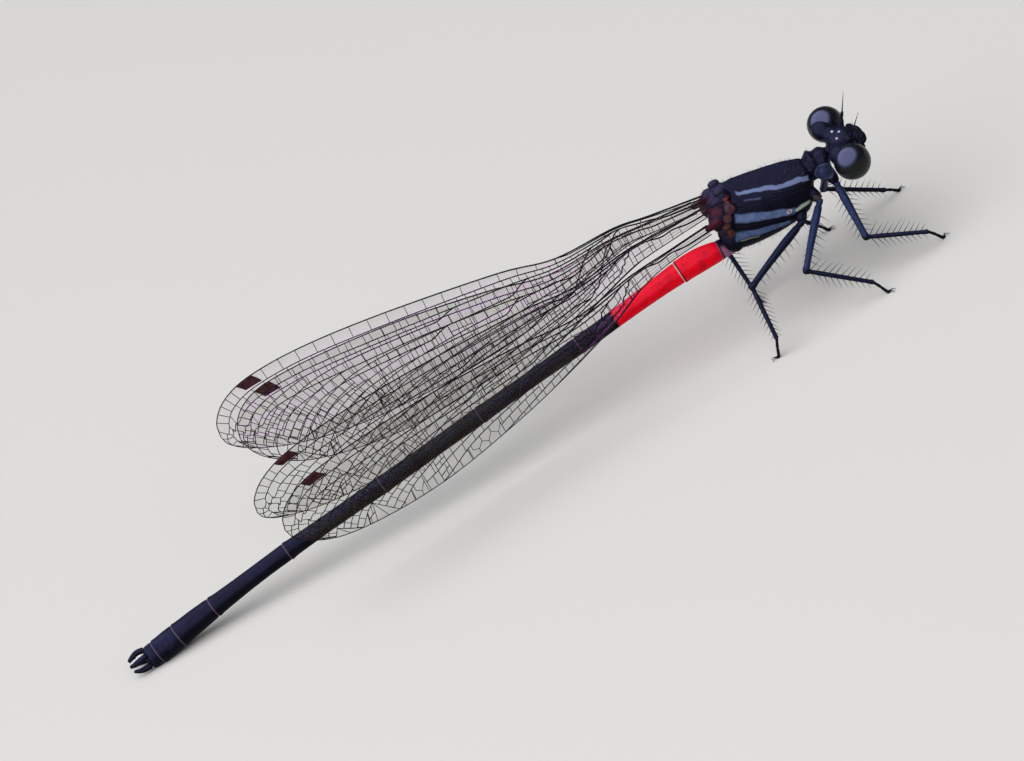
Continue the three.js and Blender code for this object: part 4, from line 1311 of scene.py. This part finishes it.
def wing_net(wing, side, rng):
    """All veins of a wing as rods: points in space with a radius for each."""
    place, height_at, length = wing_shape(wing, side)
    depths = vein_depths(length)
    backs = wing_backs(length, 90, 20, 0.004)
    front_edge = flat_line(backs, 0.0, height_at)
    hind_edge = flat_line(backs, 1.0, height_at)
    root_swell = 1 + 0.25 * np.exp(-backs / 2.5)
    found = [
        (front_edge, VEIN_RADIUS["costa"] * root_swell * (1 - 0.35 * backs / length)),
        (hind_edge, VEIN_RADIUS["rear"] * root_swell),
    ]
    nodus = wing["nodus"]
    front = np.linspace(0, nodus, 30)
    subcosta = np.interp(front, [0, 3, nodus - 0.6, nodus], [0.18, 0.08, 0.06, 0.0])
    found.append((flat_line(front, subcosta, height_at), VEIN_RADIUS["main"] * 0.9))
    lines = {"hind": hind_edge}
    whole_margin = np.vstack([front_edge, hind_edge[::-1]])
    for name, (_, end, _, start, _) in VEINS.items():
        last = ROUND_FROM if name in ROUND_TIP else end * length
        on_vein = np.linspace(start, last, 150)
        line = flat_line(on_vein, depths[name](on_vein), height_at)
        if name in ROUND_TIP:
            line = np.vstack([line, round_tip(whole_margin, line[-1], *ROUND_TIP[name])])
        thick = VEIN_RADIUS["rear"] if name == "cubitus" else VEIN_RADIUS["main"]
        taper = (1 + 0.35 * np.exp(-line[:, 0] / 3)) * (1.15 - 0.4 * np.linspace(0, 1, len(line)))
        found.append((line, thick * taper))
        lines[name] = line
    past = nearest(lines["radius"][-1:], hind_edge)[0]
    margin = np.vstack([front_edge, hind_edge[hind_edge[:, 0] > past[0]][::-1]])
    costal_veins(wing, margin, lines["radius"], length, found)
    strips, corner_veins = strips_of(lines, depths, length)
    found += [(line, VEIN_RADIUS["cross"]) for line in corner_veins]
    for points, others, marginal in strips:
        mesh_strip(points, others, rng, marginal, found)
    rods = []
    for line, radius in found:
        tops, lows = height_at(line[:, 0], 0.0), height_at(line[:, 0], 1.0)
        depth = np.clip((tops - line[:, 1]) / np.maximum(tops - lows, 1e-3), 0, 1)
        rods.append((place(line[:, 0], depth), np.broadcast_to(radius, len(line))))
    return rods, place, length


def wing_pieces(film, vein, dark_cell):
    """Veins, clear film and dark cell of each of the four wings."""
    for side, word in SIDES:
        for seed, (name, wing) in enumerate(WINGS.items(), 11):
            rods, place, length = wing_net(wing, side, np.random.default_rng(seed))
            edges, offset = [], 0
            for line, _ in rods:
                edges += [(offset + k, offset + k + 1) for k in range(len(line) - 1)]
                offset += len(line)
            points = np.vstack([line for line, _ in rods])
            thick = np.concatenate([radius for _, radius in rods])
            thing = plain_object(f"{name}_veins_{word}", to_frame(points), [], edges)
            give(thing, "thick", thick * MM)
            grown(thing, VEIN_TREE, {"Sides": 6, "Finish": vein})
            finish_piece(thing)
            film_piece(f"{name}_film_{word}", place, length, film, f"{name}_{word}")
            stigma_piece(f"{name}_stigma_{word}", place, length, dark_cell)


def slab(name, sheets, material, nodes=()):
    """A closed piece between two sheets of wing points."""
    rings = np.concatenate([sheets[0], sheets[1][:, ::-1]], axis=1)
    piece(name, rings_to_shape(rings), material, nodes)


def film_piece(name, place, length, material, node):
    """The clear film of a wing, pleated like its veins."""
    grid = np.meshgrid(wing_backs(length, 110, 22, 0.006), np.linspace(0, 1, 73), indexing="ij")
    lift = MEMBRANE_THICKNESS / 2
    slab(name, [place(*grid, lift), place(*grid, -lift)], material, [node])


def stigma_piece(name, place, length, material):
    """The thick dark cell near the wing's tip, a slanting slab between its first two long veins."""
    share = np.linspace(0, 1, 9)[:, None]
    backs = np.linspace(STIGMA["from"] * length, STIGMA["to"] * length, 12) - STIGMA["slant"] * share
    depth = VEINS["radius"][0] * share
    crown = 1 - np.linspace(-1, 1, 9)[:, None] ** 4 * 0.6
    lift = STIGMA["rise"] * crown
    slab(name, [place(backs, depth, lift), place(backs, depth, -lift)], material)


# Stage, lights and camera
def stage():
    material = new_finish("matt pale paint", Roughness=0.9, Specular_IOR_Level=0.0, Base_Color="#cfcfce")[0]
    floor = plain_object("floor", [(-2, -2, 0), (2, -2, 0), (2, 2, 0), (-2, 2, 0)], [(0, 1, 2, 3)])
    floor.data.materials.append(material)
    world = bpy.data.worlds.new("studio")
    bpy.context.scene.world = world
    world.use_nodes = True
    background = world.node_tree.nodes["Background"].inputs
    set_value(background["Color"], "#e6e9f0")
    background["Strength"].default_value = 0.24


def soft_light(name, place, size, power, colour, diffuse=True, glossy=True):
    """A round lamp at a place seen from the middle of the picture, in metres, and aimed at it."""
    lamp = bpy.data.lights.new(name, "AREA")
    lamp.shape = "DISK"
    lamp.size = size
    lamp.energy = power
    lamp.color = hex_colour(colour)[:3]
    thing = bpy.data.objects.new(name, lamp)
    thing.visible_diffuse = diffuse
    thing.visible_glossy = glossy
    target = Vector(to_frame([AIM])[0])
    thing.location = target + Vector(place)
    thing.rotation_euler = Vector(place).to_track_quat("Z", "Y").to_euler()
    bpy.context.scene.collection.objects.link(thing)


def camera():
    """The view of the photo: level with the insect in x, then rolled."""
    lens = bpy.data.cameras.new("camera")
    lens.lens = LENS
    lens.sensor_width = SENSOR
    thing = bpy.data.objects.new("camera", lens)
    forward = Vector((0, math.cos(CAMERA_HEIGHT_ANGLE), -math.sin(CAMERA_HEIGHT_ANGLE)))
    upright = Vector((0, math.sin(CAMERA_HEIGHT_ANGLE), math.cos(CAMERA_HEIGHT_ANGLE)))
    level = Vector((1, 0, 0))
    right = level * math.cos(CAMERA_ROLL) - upright * math.sin(CAMERA_ROLL)
    top = level * math.sin(CAMERA_ROLL) + upright * math.cos(CAMERA_ROLL)
    turn = Matrix((right, top, -forward)).transposed().to_4x4()
    place = Vector(to_frame([AIM])[0]) - forward * CAMERA_DISTANCE * MM
    thing.matrix_world = Matrix.Translation(place) @ turn
    bpy.context.scene.collection.objects.link(thing)
    bpy.context.scene.camera = thing


camera()
stage()
soft_light("sky", (-0.16, -0.1, 0.36), 0.7, 3.0, "#fffdfb", glossy=False)
soft_light("fill", (0.36, -0.3, 0.2), 0.5, 0.4, "#fff6ea", glossy=False)
soft_light("blue glow", (-0.145, -0.15, 0.455), 1.9, 118.0, "#b2b8f4", diffuse=False)
bpy.context.scene.view_settings.view_transform = "Standard"

VEIN_TREE = vein_tree()
BRISTLE_TREE = bristle_tree()
BLACK = black_chitin()
tail_piece(tail_chitin())
clasper_pieces(BLACK)
thorax_points = thorax_piece(thorax_chitin())
head_pieces(BLACK, eye_lens(), ocellus_lens())
leg_pieces(BLACK)
hair_piece(thorax_points, pale_hair())
wing_pieces(wing_film(), vein_chitin(), stigma_chitin())
